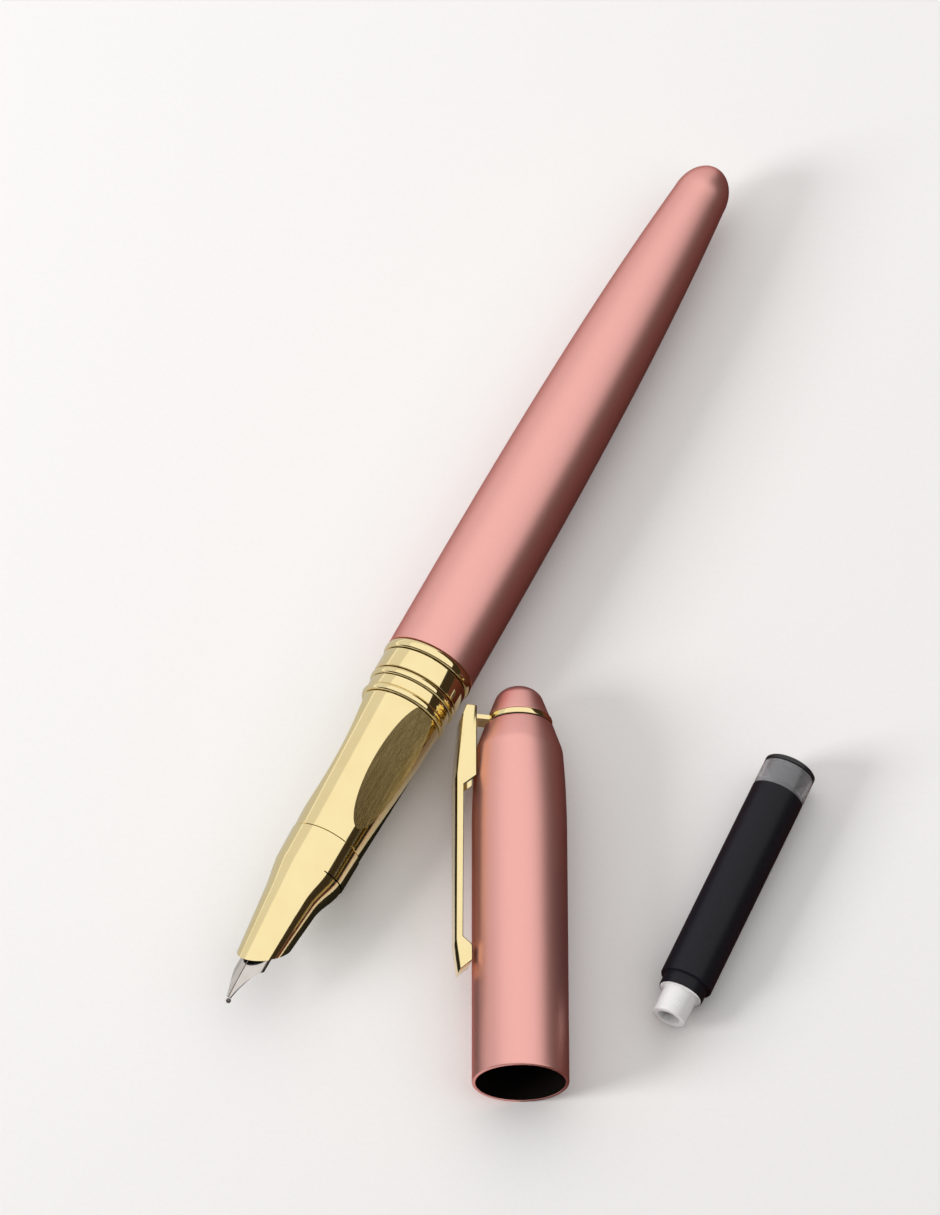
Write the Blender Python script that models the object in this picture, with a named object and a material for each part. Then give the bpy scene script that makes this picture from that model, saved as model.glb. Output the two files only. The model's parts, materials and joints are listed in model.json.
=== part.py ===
"""Fountain pen, lying uncapped beside its cap and one spare ink cartridge.

Sizes are metres. Along the pen, heights are measured from the joint between barrel and section:
positive towards the barrel's end, negative towards the nib. Along the cap they start at its lip,
and along a cartridge at the tip of its neck. Each axis empty has Z along the piece and X to its top.
"""

import math

import bmesh
import bpy
from mathutils import Matrix, Vector

# Clearances
FIT_GAP = 0.0001
RUN_GAP = 0.0002
CARTRIDGE_GAP = 0.0003
JOINT_GAP = 0.00015
LYING_GAP = 0.0005

# Cartridge
CARTRIDGE_RADIUS = 0.0034
CARTRIDGE_LENGTH = 0.0380
CARTRIDGE_WALL = 0.0006
NECK_LENGTH = 0.0036
SHOULDER_LENGTH = 0.0016
SHOULDER_INSET = 0.0005
NECK_WALL = 0.00075
END_CAP_THICKNESS = 0.0006
END_CAP_SPIGOT = 0.0008
AIR_SPACE = 0.0046
BALL_RADIUS = 0.0013

# Section core
TUBE_RADIUS = 0.00115
TUBE_BORE = 0.0006
TUBE_PROUD = 0.0003
TUBE_FLANGE = 0.0010
TUBE_FLANGE_RADIUS = 0.0022
TUBE_POINT_DEGREES = 35.0
WEB_THICKNESS = 0.0015
WEB_SETBACK = 0.0021
CONNECTOR_WALL = 0.00085
CONNECTOR_BORE = 0.0025
CONNECTOR_REACH = 0.0174
THREAD_LENGTH = 0.0085
FEED_RADIUS = 0.0015
FEED_POINT_RADIUS = 0.0008
FEED_POINT_LENGTH = 0.0040
FEED_SETBACK = 0.0070
COLLECTOR_RADIUS = 0.0036
COLLECTOR_FINS = 5
FIN_THICKNESS = 0.0006
FIN_PITCH = 0.0012
FIN_CORE_WALL = 0.00035
FIN_CLEARANCE = 0.0003

# Barrel
BUSH_WALL = 0.0005
BUSH_LENGTH = 0.0066
BARREL_WALL = 0.00065
BARREL_SHOULDER = 0.00025
BARREL_LENGTH = 0.0852
BARREL_TAPER = 0.46
BARREL_END_LENGTH = 0.0052
MOUTH_RING_WIDTH = 0.0013
MOUTH_RING_PROUD = 0.0001
MOUTH_RING_SPIGOT = 0.0018
BEAD_BULGE = 0.0003

# Section trim and grip
COLLAR_WIDTH = 0.0028
COLLAR_INSET = 0.00015
TRIM_RING_WIDTH = 0.0010
TRIM_RING_INSET = 0.0001
STOP_BAND_WIDTH = 0.0014
STOP_BAND_INSET = 0.0004
STOP_BEAD_WIDTH = 0.0010
STOP_BEAD_INSET = 0.0002
GRIP_LENGTH = 0.0204
GRIP_INSET = 0.00055
GRIP_WALL = 0.00095
GRIP_CHAMFER = 0.00015
SCOOP_RADIUS = 0.0600
SCOOP_DEPTH = 0.00072
SCOOP_ANGLE = 62.0
SCOOP_SETBACK = 0.0108
SCOOP_HALF_SPAN = 0.0140
SCOOP_HALF_WIDTH = 0.0060

# Hood and nib
HOOD_PROUD = 0.0001
HOOD_LENGTH = 0.0194
HOOD_COLLAR_LENGTH = 0.0047
HOOD_COLLAR_TAPER = 0.0001
HOOD_DROP = 0.0011
HOOD_DROP_LENGTH = 0.0046
HOOD_WALL = 0.0005
HOOD_RISE = 0.00028
HOOD_MOUTH_DEGREES = 48.0
PARTING_REAR = 0.0029
PARTING_FRONT = 0.0017
PARTING_SLANT = 0.0008
UNDERSIDE_INSET = 0.00015
NIB_REACH = 0.0050
NIB_SEAT = 0.0036
NIB_THICKNESS = 0.0003
NIB_CLEARANCE = 0.00027
NIB_ARC_DEGREES = 68.0
NIB_TIP_WIDTH = 0.0005
NIB_DROP = 0.00025
NIB_TAPER_POWER = 1.2
SLIT_WIDTH = 0.0001
SLIT_SETBACK = 0.0015
TIPPING_RADIUS = 0.00032
TIPPING_GAP = 0.00002

# Cap
CAP_GAP = 0.0001
CAP_WALL = 0.00045
CAP_TAPER_LENGTH = 0.0115
CAP_TAPER_INSET = 0.00045
CAP_SHOULDER_LENGTH = 0.0036
CAP_SHOULDER_INSET = 0.0012
CAP_TOP_WALL = 0.0008
CAP_END_ROOM = 0.0009
LINER_START = 0.0178
LINER_END_WALL = 0.0006
SCREW_RADIUS = 0.0011
SCREW_HEAD_RADIUS = 0.0021
SCREW_HEAD_HEIGHT = 0.0006
SCREW_DEPTH = 0.0026
CLIP_RING_WIDTH = 0.0008
CLIP_RING_INSET = 0.0001
FINIAL_INSET = 0.0003
FINIAL_LENGTH = 0.0045
FINIAL_CROWN_RADIUS = 0.0032
FINIAL_CROWN_LENGTH = 0.0025
FINIAL_CROWN_START = 16.0

# Clip
CLIP_SHEET = 0.0005
CLIP_WIDTH_TOP = 0.0040
CLIP_WIDTH_TIP = 0.0029
CLIP_LENGTH = 0.0365
CLIP_STAND_OFF = 0.00235
CLIP_ARM_DEPTH = 0.00085
CLIP_BLOCK_LENGTH = 0.0098
CLIP_TIP_LENGTH = 0.0040
CLIP_SLOPE = 0.0014
CLIP_TOP_BEND = 0.0012
CLIP_TOP_SLANT = 0.00045
CLIP_TIP_SLANT = 0.0005
CLIP_SEAT_GAP = 0.0003
TAB_WIDTH = 0.0024
TAB_REACH = 0.0008

# Places on the table
PEN_HEADING = 27.0
PEN_ROLL = 20.0
CAP_CLIP_RAISE = 12.0
CAP_SETBACK = 0.0059
SPARE_HEADING = 25.0
SPARE_CENTRE_X = 0.0384
SPARE_CENTRE_Y = -0.0293

# Facets
ROUND = 40
GRIP_ROUND = 48
RING_ROUND = 36
INNER_ROUND = 24
FINE_ROUND = 16
BALL_ROUND = 12
PROFILE_STEPS = 6
SCOOP_STEPS = 24
SHARP_ANGLE = math.radians(32.0)
WELD = 1e-7

# Radii worked out from the cartridge outwards
neck_bore = TUBE_RADIUS + CARTRIDGE_GAP
neck_radius = neck_bore + NECK_WALL
cavity_radius = CARTRIDGE_RADIUS - CARTRIDGE_WALL
socket_radius = CARTRIDGE_RADIUS + CARTRIDGE_GAP
thread_radius = socket_radius + CONNECTOR_WALL
ring_bore = thread_radius + FIT_GAP
bush_bore = thread_radius + RUN_GAP
bush_radius = bush_bore + BUSH_WALL
barrel_seat_radius = bush_radius + FIT_GAP
barrel_radius = barrel_seat_radius + BARREL_WALL
mouth_ring_radius = barrel_radius + MOUTH_RING_PROUD
collar_radius = barrel_radius - COLLAR_INSET
grip_rear_radius = barrel_radius - GRIP_INSET
section_bore = COLLECTOR_RADIUS + FIT_GAP
grip_front_radius = section_bore + GRIP_WALL
hood_radius = grip_front_radius + HOOD_PROUD
nib_inner_radius = FEED_RADIUS + FIT_GAP
nib_radius = nib_inner_radius + NIB_THICKNESS
hood_mouth_bore = nib_radius + NIB_CLEARANCE
hood_mouth_radius = hood_mouth_bore + HOOD_WALL
cap_bore = grip_rear_radius + CAP_GAP
cap_radius = cap_bore + CAP_WALL
liner_bore = hood_radius + CAP_GAP
cap_top_radius = cap_radius - CAP_TAPER_INSET
cap_shoulder_radius = cap_top_radius - CAP_SHOULDER_INSET
screw_hole_radius = SCREW_RADIUS + FIT_GAP

# Heights along the pen
collar_top = -JOINT_GAP
collar_bottom = collar_top - COLLAR_WIDTH
trim_top = collar_bottom - FIT_GAP
trim_bottom = trim_top - TRIM_RING_WIDTH
stop_top = trim_bottom - FIT_GAP
stop_bottom = stop_top - STOP_BAND_WIDTH - STOP_BEAD_WIDTH
grip_top = stop_bottom - FIT_GAP
grip_bottom = grip_top - GRIP_LENGTH
hood_top = grip_bottom - FIT_GAP
hood_step = hood_top - HOOD_COLLAR_LENGTH
hood_mouth = hood_top - HOOD_LENGTH
nib_tip = hood_mouth - NIB_REACH
tipping_centre = nib_tip - TIPPING_GAP - TIPPING_RADIUS
web_top = -WEB_SETBACK
web_bottom = web_top - WEB_THICKNESS
flange_top = web_bottom - FIT_GAP
flange_bottom = flange_top - TUBE_FLANGE
neck_tip = web_top + CARTRIDGE_GAP
feed_top = flange_bottom - FIT_GAP
connector_bottom = grip_top - CONNECTOR_REACH
collector_top = connector_bottom - FIT_GAP
collector_seat_bottom = hood_step + FIT_GAP
barrel_start = MOUTH_RING_WIDTH + FIT_GAP
bush_start = barrel_start + MOUTH_RING_SPIGOT + FIT_GAP
barrel_seat_end = bush_start + BUSH_LENGTH + FIT_GAP

# Heights along a cartridge
body_start = NECK_LENGTH + SHOULDER_LENGTH
cavity_start = body_start + CARTRIDGE_WALL
tube_reach = cavity_start + TUBE_PROUD
end_cap_start = CARTRIDGE_LENGTH - END_CAP_THICKNESS
ink_top = CARTRIDGE_LENGTH - AIR_SPACE

# Heights along the cap
cap_nib_depth = stop_bottom - (tipping_centre - TIPPING_RADIUS)
screw_head_start = cap_nib_depth + CAP_END_ROOM
liner_end = screw_head_start + SCREW_HEAD_HEIGHT + FIT_GAP
liner_top = liner_end + LINER_END_WALL
cap_inner_top = liner_top + FIT_GAP
cap_top = cap_inner_top + CAP_TOP_WALL
cap_shoulder_start = cap_top - CAP_SHOULDER_LENGTH
cap_taper_start = cap_shoulder_start - CAP_TAPER_LENGTH
clip_ring_start = cap_top + FIT_GAP
clip_ring_end = clip_ring_start + CLIP_RING_WIDTH
finial_start = clip_ring_end + FIT_GAP
clip_ring_radius = cap_shoulder_radius - CLIP_RING_INSET
finial_radius = cap_shoulder_radius - FINIAL_INSET
tab_end = cap_top_radius + TAB_REACH
clip_top = clip_ring_end + CLIP_SEAT_GAP + CLIP_SHEET
clip_bottom = clip_top - CLIP_LENGTH
clip_crown = tab_end + CLIP_SEAT_GAP + CLIP_SHEET
clip_pivot = Vector((tab_end, 0.0, (clip_ring_start + clip_ring_end) / 2.0))


def linear(channel):
    """One sRGB channel as linear light."""
    return channel / 12.92 if channel <= 0.04045 else ((channel + 0.055) / 1.055) ** 2.4


def material(name, colour, roughness, metallic):
    made = bpy.data.materials.new(name)
    made.use_nodes = True
    shader = made.node_tree.nodes["Principled BSDF"]
    channels = [int(colour[i : i + 2], 16) / 255.0 for i in (1, 3, 5)]
    shader.inputs["Base Color"].default_value = (*map(linear, channels), 1.0)
    shader.inputs["Roughness"].default_value = roughness
    shader.inputs["Metallic"].default_value = metallic
    return made


def place(name, mesh_or_none, parent):
    """A new object, or an empty where no mesh is given, in the scene and under its parent."""
    made = bpy.data.objects.new(name, mesh_or_none)
    bpy.context.scene.collection.objects.link(made)
    made.parent = parent
    return made


def axis_empty(name, parent, location, along, up):
    """An empty with its Z along the piece and its X towards the piece's top."""
    z = Vector(along).normalized()
    x = (Vector(up) - Vector(up).dot(z) * z).normalized()
    turn = Matrix((x, z.cross(x), z)).transposed()
    made = place(name, None, parent)
    made.location = location
    made.rotation_euler = turn.to_euler()
    return made


def as_object(name, bm, parent, look):
    """The finished bmesh as a named object, smooth apart from its sharp edges."""
    bmesh.ops.remove_doubles(bm, verts=bm.verts, dist=WELD)
    bmesh.ops.recalc_face_normals(bm, faces=bm.faces)
    mesh = bpy.data.meshes.new(name)
    bm.to_mesh(mesh)
    bm.free()
    mesh.shade_smooth()
    mesh.set_sharp_from_angle(angle=SHARP_ANGLE)
    made = place(name, mesh, parent)
    if look is None:
        made.hide_render = True
        made.display_type = "WIRE"
    else:
        mesh.materials.append(look)
    return made


def turned(name, profile, parent, look, sides):
    """A piece turned about Z from (radius, height) points, left open where it ends on the axis."""
    bm = bmesh.new()
    verts = [bm.verts.new((radius, 0.0, height)) for radius, height in profile]
    edges = [bm.edges.new(pair) for pair in zip(verts, verts[1:])]
    if profile[0][0] > 0.0 or profile[-1][0] > 0.0:
        edges.append(bm.edges.new((verts[-1], verts[0])))
    bmesh.ops.spin(
        bm, geom=verts + edges, cent=(0, 0, 0), axis=(0, 0, 1), angle=math.tau, steps=sides, use_merge=True
    )
    return as_object(name, bm, parent, look)


def sleeve(bore, radius, bottom, top, chamfer):
    """The profile of a plain tube with its outer edges chamfered."""
    lower = [(radius - chamfer, bottom), (radius, bottom + chamfer)]
    upper = [(radius, top - chamfer), (radius - chamfer, top)]
    return [(bore, top), (bore, bottom), *lower, *upper]


def ellipse(centre, radius, height, start, end, steps):
    """Points on an ellipse about (radius, height), from one angle to another in degrees."""
    points = []
    for step in range(steps + 1):
        angle = math.radians(start + (end - start) * step / steps)
        points.append((centre[0] + radius * math.cos(angle), centre[1] + height * math.sin(angle)))
    return points


def bead(radius, bottom, top):
    """The outer points of a half-round bead, bottom to top."""
    middle = (bottom + top) / 2.0
    half = (top - bottom) / 2.0
    return ellipse((radius - BEAD_BULGE, middle), BEAD_BULGE, half, -90.0, 90.0, PROFILE_STEPS)


def prism(name, outline, half_width, parent, look):
    """A side outline of (x, z) points, as wide to each side as half_width gives for a height."""
    bm = bmesh.new()
    sides = [[bm.verts.new((x, side * half_width(z), z)) for x, z in outline] for side in (-1.0, 1.0)]
    faces = [bm.faces.new(side) for side in sides]
    bmesh.ops.bridge_loops(bm, edges=[edge for face in faces for edge in face.edges])
    return as_object(name, bm, parent, look)


def ball(name, radius, parent, look):
    bm = bmesh.new()
    bmesh.ops.create_uvsphere(bm, u_segments=BALL_ROUND, v_segments=BALL_ROUND // 2, radius=radius)
    return as_object(name, bm, parent, look)


def block(name, low, high, parent):
    """A cutting block between two corners."""
    bm = bmesh.new()
    bmesh.ops.create_cube(bm, size=1.0)
    size = Vector(high) - Vector(low)
    bmesh.ops.scale(bm, vec=size, verts=bm.verts)
    bmesh.ops.translate(bm, vec=(Vector(high) + Vector(low)) / 2.0, verts=bm.verts)
    return as_object(name, bm, parent, None)


def cut(piece, cutter, operation="DIFFERENCE"):
    change = piece.modifiers.new(cutter.name, "BOOLEAN")
    change.operation = operation
    change.object = cutter


def clear_scene():
    for old in list(bpy.data.objects):
        bpy.data.objects.remove(old)


def barrel_outside(height):
    """The barrel's outer radius: nearly straight at the mouth, falling ever faster to the end."""
    return barrel_radius * (1.0 - BARREL_TAPER * (height / BARREL_LENGTH) ** 3)


def make_barrel(axis, lacquer, gold, brass):
    dome_start = BARREL_LENGTH - BARREL_END_LENGTH
    steps = 9
    stations = [barrel_start + (dome_start - barrel_start) * step / steps for step in range(steps)]
    wall = BARREL_WALL + BARREL_SHOULDER
    outside = [(barrel_outside(height), height) for height in stations]
    end_radius = barrel_outside(dome_start)
    dome = ellipse((0.0, dome_start), end_radius, BARREL_END_LENGTH, 0.0, 90.0, PROFILE_STEPS)[:-1]
    inside = [
        (barrel_outside(height) - wall, height)
        for height in (dome_start, *reversed(stations[3::2]), barrel_seat_end)
    ]
    seat = [(barrel_seat_radius, barrel_seat_end), (barrel_seat_radius, barrel_start)]
    inner_end = (0.0, dome_start + BARREL_END_LENGTH / 2.0)
    profile = [inner_end, *inside, *seat, *outside, *dome, (0.0, BARREL_LENGTH)]
    turned("barrel", profile, axis, lacquer, ROUND)

    spigot_end = barrel_start + MOUTH_RING_SPIGOT
    ring = [
        (bush_bore, spigot_end),
        (bush_bore, 0.0),
        *bead(mouth_ring_radius, 0.0, MOUTH_RING_WIDTH),
        (bush_radius, MOUTH_RING_WIDTH),
        (bush_radius, spigot_end),
    ]
    turned("barrel_mouth_ring", ring, axis, gold, RING_ROUND)
    bush = sleeve(bush_bore, bush_radius, bush_start, bush_start + BUSH_LENGTH, FIT_GAP)
    turned("barrel_thread_bush", bush, axis, brass, INNER_ROUND)


def make_trim(axis, gold):
    collar = sleeve(ring_bore, collar_radius, collar_bottom, collar_top, GRIP_CHAMFER)
    turned("section_collar", collar, axis, gold, RING_ROUND)
    trim_bead = bead(barrel_radius - TRIM_RING_INSET, trim_bottom, trim_top)
    trim = [(ring_bore, trim_top), (ring_bore, trim_bottom), *trim_bead]
    turned("trim_ring", trim, axis, gold, RING_ROUND)
    bead_top = stop_bottom + STOP_BEAD_WIDTH
    band_radius = barrel_radius - STOP_BAND_INSET
    stop = [
        (ring_bore, stop_top),
        (ring_bore, stop_bottom),
        *bead(barrel_radius - STOP_BEAD_INSET, stop_bottom, bead_top),
        (band_radius, bead_top),
        (band_radius, stop_top),
    ]
    turned("cap_stop_ring", stop, axis, gold, RING_ROUND)


def grip_radius(height):
    """The grip's radius before the finger flats are cut."""
    return grip_front_radius + (grip_rear_radius - grip_front_radius) * (height - grip_bottom) / GRIP_LENGTH


def make_grip(axis, gold):
    top = grip_top - GRIP_CHAMFER
    bottom = grip_bottom + GRIP_CHAMFER
    profile = [
        (section_bore, grip_top),
        (section_bore, grip_bottom),
        (grip_front_radius - GRIP_CHAMFER, grip_bottom),
        (grip_radius(bottom), bottom),
        (grip_radius(top), top),
        (grip_rear_radius - GRIP_CHAMFER, grip_top),
    ]
    grip = turned("grip_section", profile, axis, gold, GRIP_ROUND)

    middle = grip_top - SCOOP_SETBACK
    floor = grip_radius(middle) - SCOOP_DEPTH
    span = math.degrees(math.asin(SCOOP_HALF_SPAN / SCOOP_RADIUS))
    far = floor + SCOOP_RADIUS * (1.0 - math.cos(math.radians(span)))
    centre = (floor + SCOOP_RADIUS, middle)
    arc = ellipse(centre, SCOOP_RADIUS, SCOOP_RADIUS, 180.0 - span, 180.0 + span, SCOOP_STEPS)
    back = far + grip_rear_radius
    outline = [*arc, (back, middle - SCOOP_HALF_SPAN), (back, middle + SCOOP_HALF_SPAN)]
    for side, turn in (("left", -SCOOP_ANGLE), ("right", SCOOP_ANGLE)):
        flat = prism(f"finger_flat_{side}", outline, lambda height: SCOOP_HALF_WIDTH, axis, None)
        flat.rotation_euler.z = math.radians(turn)
        cut(grip, flat)


def hood_shape(height):
    """The hood's radius and the rise of its centre: an even collar, a straight top, a dropped underside."""
    past_step = hood_step - height
    collar = hood_radius - HOOD_COLLAR_TAPER * min(1.0, (hood_top - height) / HOOD_COLLAR_LENGTH)
    share = max(0.0, past_step / (HOOD_LENGTH - HOOD_COLLAR_LENGTH))
    top = collar + (hood_mouth_radius + HOOD_RISE - collar) * share
    low = collar - HOOD_DROP + (hood_mouth_radius - HOOD_RISE - collar + HOOD_DROP) * share
    dropped = min(1.0, max(0.0, past_step / HOOD_DROP_LENGTH))
    under = top + (low - top) * (1.0 - math.cos(math.pi * dropped)) / 2.0
    return (top + under) / 2.0, (top - under) / 2.0


def hood_ring(bm, height, radius, rise):
    ring = bmesh.ops.create_circle(bm, segments=ROUND, radius=radius)["verts"]
    bmesh.ops.translate(bm, vec=(rise, 0.0, height), verts=ring)
    return ring


def skin(bm, rings):
    """Faces from each ring of vertices to the next."""
    for ring, after in zip(rings, rings[1:]):
        for here in range(len(ring)):
            there = (here + 1) % len(ring)
            bm.faces.new((ring[here], ring[there], after[there], after[here]))


def hood_shell(name, axis, gold, inset):
    """The whole hood as one lofted shell, its outside set in by inset, with the mouth cut obliquely."""
    bm = bmesh.new()
    past_mouth = hood_mouth - HOOD_WALL
    steps = 5
    drop = [hood_step - HOOD_DROP_LENGTH * step / steps for step in range(steps + 1)]
    rings = []
    for height in (hood_top, *drop, past_mouth):
        radius, rise = hood_shape(height)
        rings.append(hood_ring(bm, height, radius - inset, rise))
    for height in (past_mouth, *reversed(drop[2:])):
        radius, rise = hood_shape(height)
        rings.append(hood_ring(bm, height, radius - HOOD_WALL, rise))
    for height in (hood_step, hood_top):
        rings.append(hood_ring(bm, height, section_bore, 0.0))
    skin(bm, [*rings, rings[0]])
    shell = as_object(name, bm, axis, gold)

    reach = HOOD_LENGTH
    mouth = block(f"{name}_mouth_cut", (-reach, -reach, -reach), (reach, reach, 0.0), axis)
    mouth.location = (HOOD_RISE + hood_mouth_radius, 0.0, hood_mouth)
    mouth.rotation_euler.y = math.radians(HOOD_MOUTH_DEGREES)
    cut(shell, mouth)
    return shell


def underside(name, axis, gap):
    """The space below the hood's parting line and before its step, drawn in by a gap."""
    reach = 2.0 * hood_radius
    front = hood_mouth - reach
    fall = (PARTING_REAR - PARTING_FRONT) / (hood_step - hood_mouth)
    outline = [
        (PARTING_REAR - gap, hood_step - gap),
        (PARTING_REAR - gap - fall * (hood_step - front), front),
        (-reach, front),
        (-reach, hood_step + PARTING_SLANT - gap),
    ]
    return prism(name, outline, lambda height: reach, axis, None)


def make_hood(axis, gold):
    hood = hood_shell("hood", axis, gold, 0.0)
    cut(hood, underside("hood_opening", axis, 0.0))
    tray = hood_shell("hood_underside", axis, gold, UNDERSIDE_INSET)
    cut(tray, underside("hood_underside_space", axis, FIT_GAP), "INTERSECT")


def nib_ring(bm, height):
    """One ring of the nib's curved sheet: full width under the hood, then narrowing to the tip."""
    share = max(0.0, (hood_mouth - height) / NIB_REACH)
    full_width = nib_radius * math.sin(math.radians(NIB_ARC_DEGREES))
    tip_width = NIB_TIP_WIDTH / 2.0
    half_width = tip_width + (full_width - tip_width) * (1.0 - share) ** NIB_TAPER_POWER
    half_arc = math.asin(half_width / nib_radius)
    drop = NIB_DROP * share**2
    steps = 8
    angles = [half_arc * (2.0 * step / steps - 1.0) for step in range(steps + 1)]
    sheet = [(nib_radius, a) for a in angles] + [(nib_inner_radius, a) for a in reversed(angles)]
    return [bm.verts.new((r * math.cos(a) - drop, r * math.sin(a), height)) for r, a in sheet]


def make_nib(axis, steel, alloy):
    bm = bmesh.new()
    steps = 9
    bared = [hood_mouth - NIB_REACH * step / steps for step in range(steps + 1)]
    rings = [nib_ring(bm, height) for height in (hood_mouth + NIB_SEAT, *bared)]
    skin(bm, rings)
    for ring in (rings[0], rings[-1]):
        for point in range(len(ring) // 2 - 1):
            bm.faces.new((ring[point], ring[point + 1], ring[-2 - point], ring[-1 - point]))
    nib = as_object("nib", bm, axis, steel)
    slit_low = (0.0, -SLIT_WIDTH / 2.0, nib_tip - NIB_REACH)
    slit_high = (2.0 * nib_radius, SLIT_WIDTH / 2.0, hood_mouth + SLIT_SETBACK)
    cut(nib, block("nib_slit", slit_low, slit_high, axis))
    tipping = ball("nib_tipping", TIPPING_RADIUS, axis, alloy)
    tipping.location = (nib_radius - NIB_DROP - NIB_THICKNESS / 2.0, 0.0, tipping_centre)


def make_feed(axis, black):
    feed_tip = nib_tip + FEED_SETBACK
    profile = [
        (0.0, feed_top),
        (FEED_RADIUS, feed_top),
        (FEED_RADIUS, feed_tip + FEED_POINT_LENGTH),
        (FEED_POINT_RADIUS, feed_tip),
        (0.0, feed_tip),
    ]
    turned("feed", profile, axis, black, INNER_ROUND)

    bore = FEED_RADIUS + FIT_GAP
    core = bore + FIN_CORE_WALL
    seat = [(COLLECTOR_RADIUS, collector_top), (COLLECTOR_RADIUS, collector_seat_bottom)]
    profile = [(bore, collector_top), *seat]
    for fin in range(1, COLLECTOR_FINS + 1):
        fin_bottom = collector_seat_bottom - FIN_PITCH * fin
        fin_top = fin_bottom + FIN_THICKNESS
        radius, rise = hood_shape(fin_bottom)
        edge = radius - rise - HOOD_WALL - FIN_CLEARANCE
        profile += [(core, fin_bottom + FIN_PITCH), (core, fin_top), (edge, fin_top), (edge, fin_bottom)]
    profile.append((bore, fin_bottom))
    turned("ink_collector", profile, axis, black, FINE_ROUND)


def make_connector(axis, black, steel):
    tube_hole = TUBE_RADIUS + FIT_GAP
    profile = [
        (socket_radius, THREAD_LENGTH),
        (socket_radius, web_top),
        (tube_hole, web_top),
        (tube_hole, web_bottom),
        (CONNECTOR_BORE, web_bottom),
        (CONNECTOR_BORE, connector_bottom),
        (COLLECTOR_RADIUS, connector_bottom),
        (COLLECTOR_RADIUS, stop_bottom),
        (thread_radius, stop_bottom),
        (thread_radius, THREAD_LENGTH),
    ]
    turned("connector", profile, axis, black, INNER_ROUND)

    tube_top = neck_tip + tube_reach
    profile = [
        (TUBE_BORE, tube_top),
        (TUBE_BORE, flange_bottom),
        (TUBE_FLANGE_RADIUS, flange_bottom),
        (TUBE_FLANGE_RADIUS, flange_top),
        (TUBE_RADIUS, flange_top),
        (TUBE_RADIUS, tube_top),
    ]
    tube = turned("piercing_tube", profile, axis, steel, FINE_ROUND)
    reach = 4.0 * TUBE_RADIUS
    point = block("tube_point_cut", (-reach, -reach, 0.0), (reach, reach, reach), axis)
    point.location = (-TUBE_RADIUS, 0.0, tube_top)
    point.rotation_euler.y = math.radians(TUBE_POINT_DEGREES)
    cut(tube, point)


def make_cartridge(prefix, axis, seal_ball_place, plastic, ink, glass):
    shoulder_radius = CARTRIDGE_RADIUS - SHOULDER_INSET
    body_end = end_cap_start - FIT_GAP
    profile = [
        (neck_bore, 0.0),
        (neck_radius, 0.0),
        (neck_radius, NECK_LENGTH),
        (shoulder_radius, NECK_LENGTH),
        (shoulder_radius, body_start),
        (CARTRIDGE_RADIUS, body_start),
        (CARTRIDGE_RADIUS, body_end),
        (cavity_radius, body_end),
        (cavity_radius, cavity_start),
        (neck_bore, cavity_start),
    ]
    turned(f"{prefix}_body", profile, axis, plastic, INNER_ROUND)

    filling_radius = cavity_radius - FIT_GAP
    ink_start = tube_reach + FIT_GAP
    profile = [(0.0, ink_start), (filling_radius, ink_start), (filling_radius, ink_top), (0.0, ink_top)]
    turned(f"{prefix}_ink", profile, axis, ink, INNER_ROUND)

    profile = [
        (0.0, end_cap_start - END_CAP_SPIGOT),
        (filling_radius, end_cap_start - END_CAP_SPIGOT),
        (filling_radius, end_cap_start),
        (CARTRIDGE_RADIUS, end_cap_start),
        (CARTRIDGE_RADIUS, CARTRIDGE_LENGTH),
        (0.0, CARTRIDGE_LENGTH),
    ]
    turned(f"{prefix}_end_cap", profile, axis, plastic, INNER_ROUND)
    seal = ball(f"{prefix}_seal_ball", BALL_RADIUS, axis, glass)
    seal.location = seal_ball_place


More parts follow.
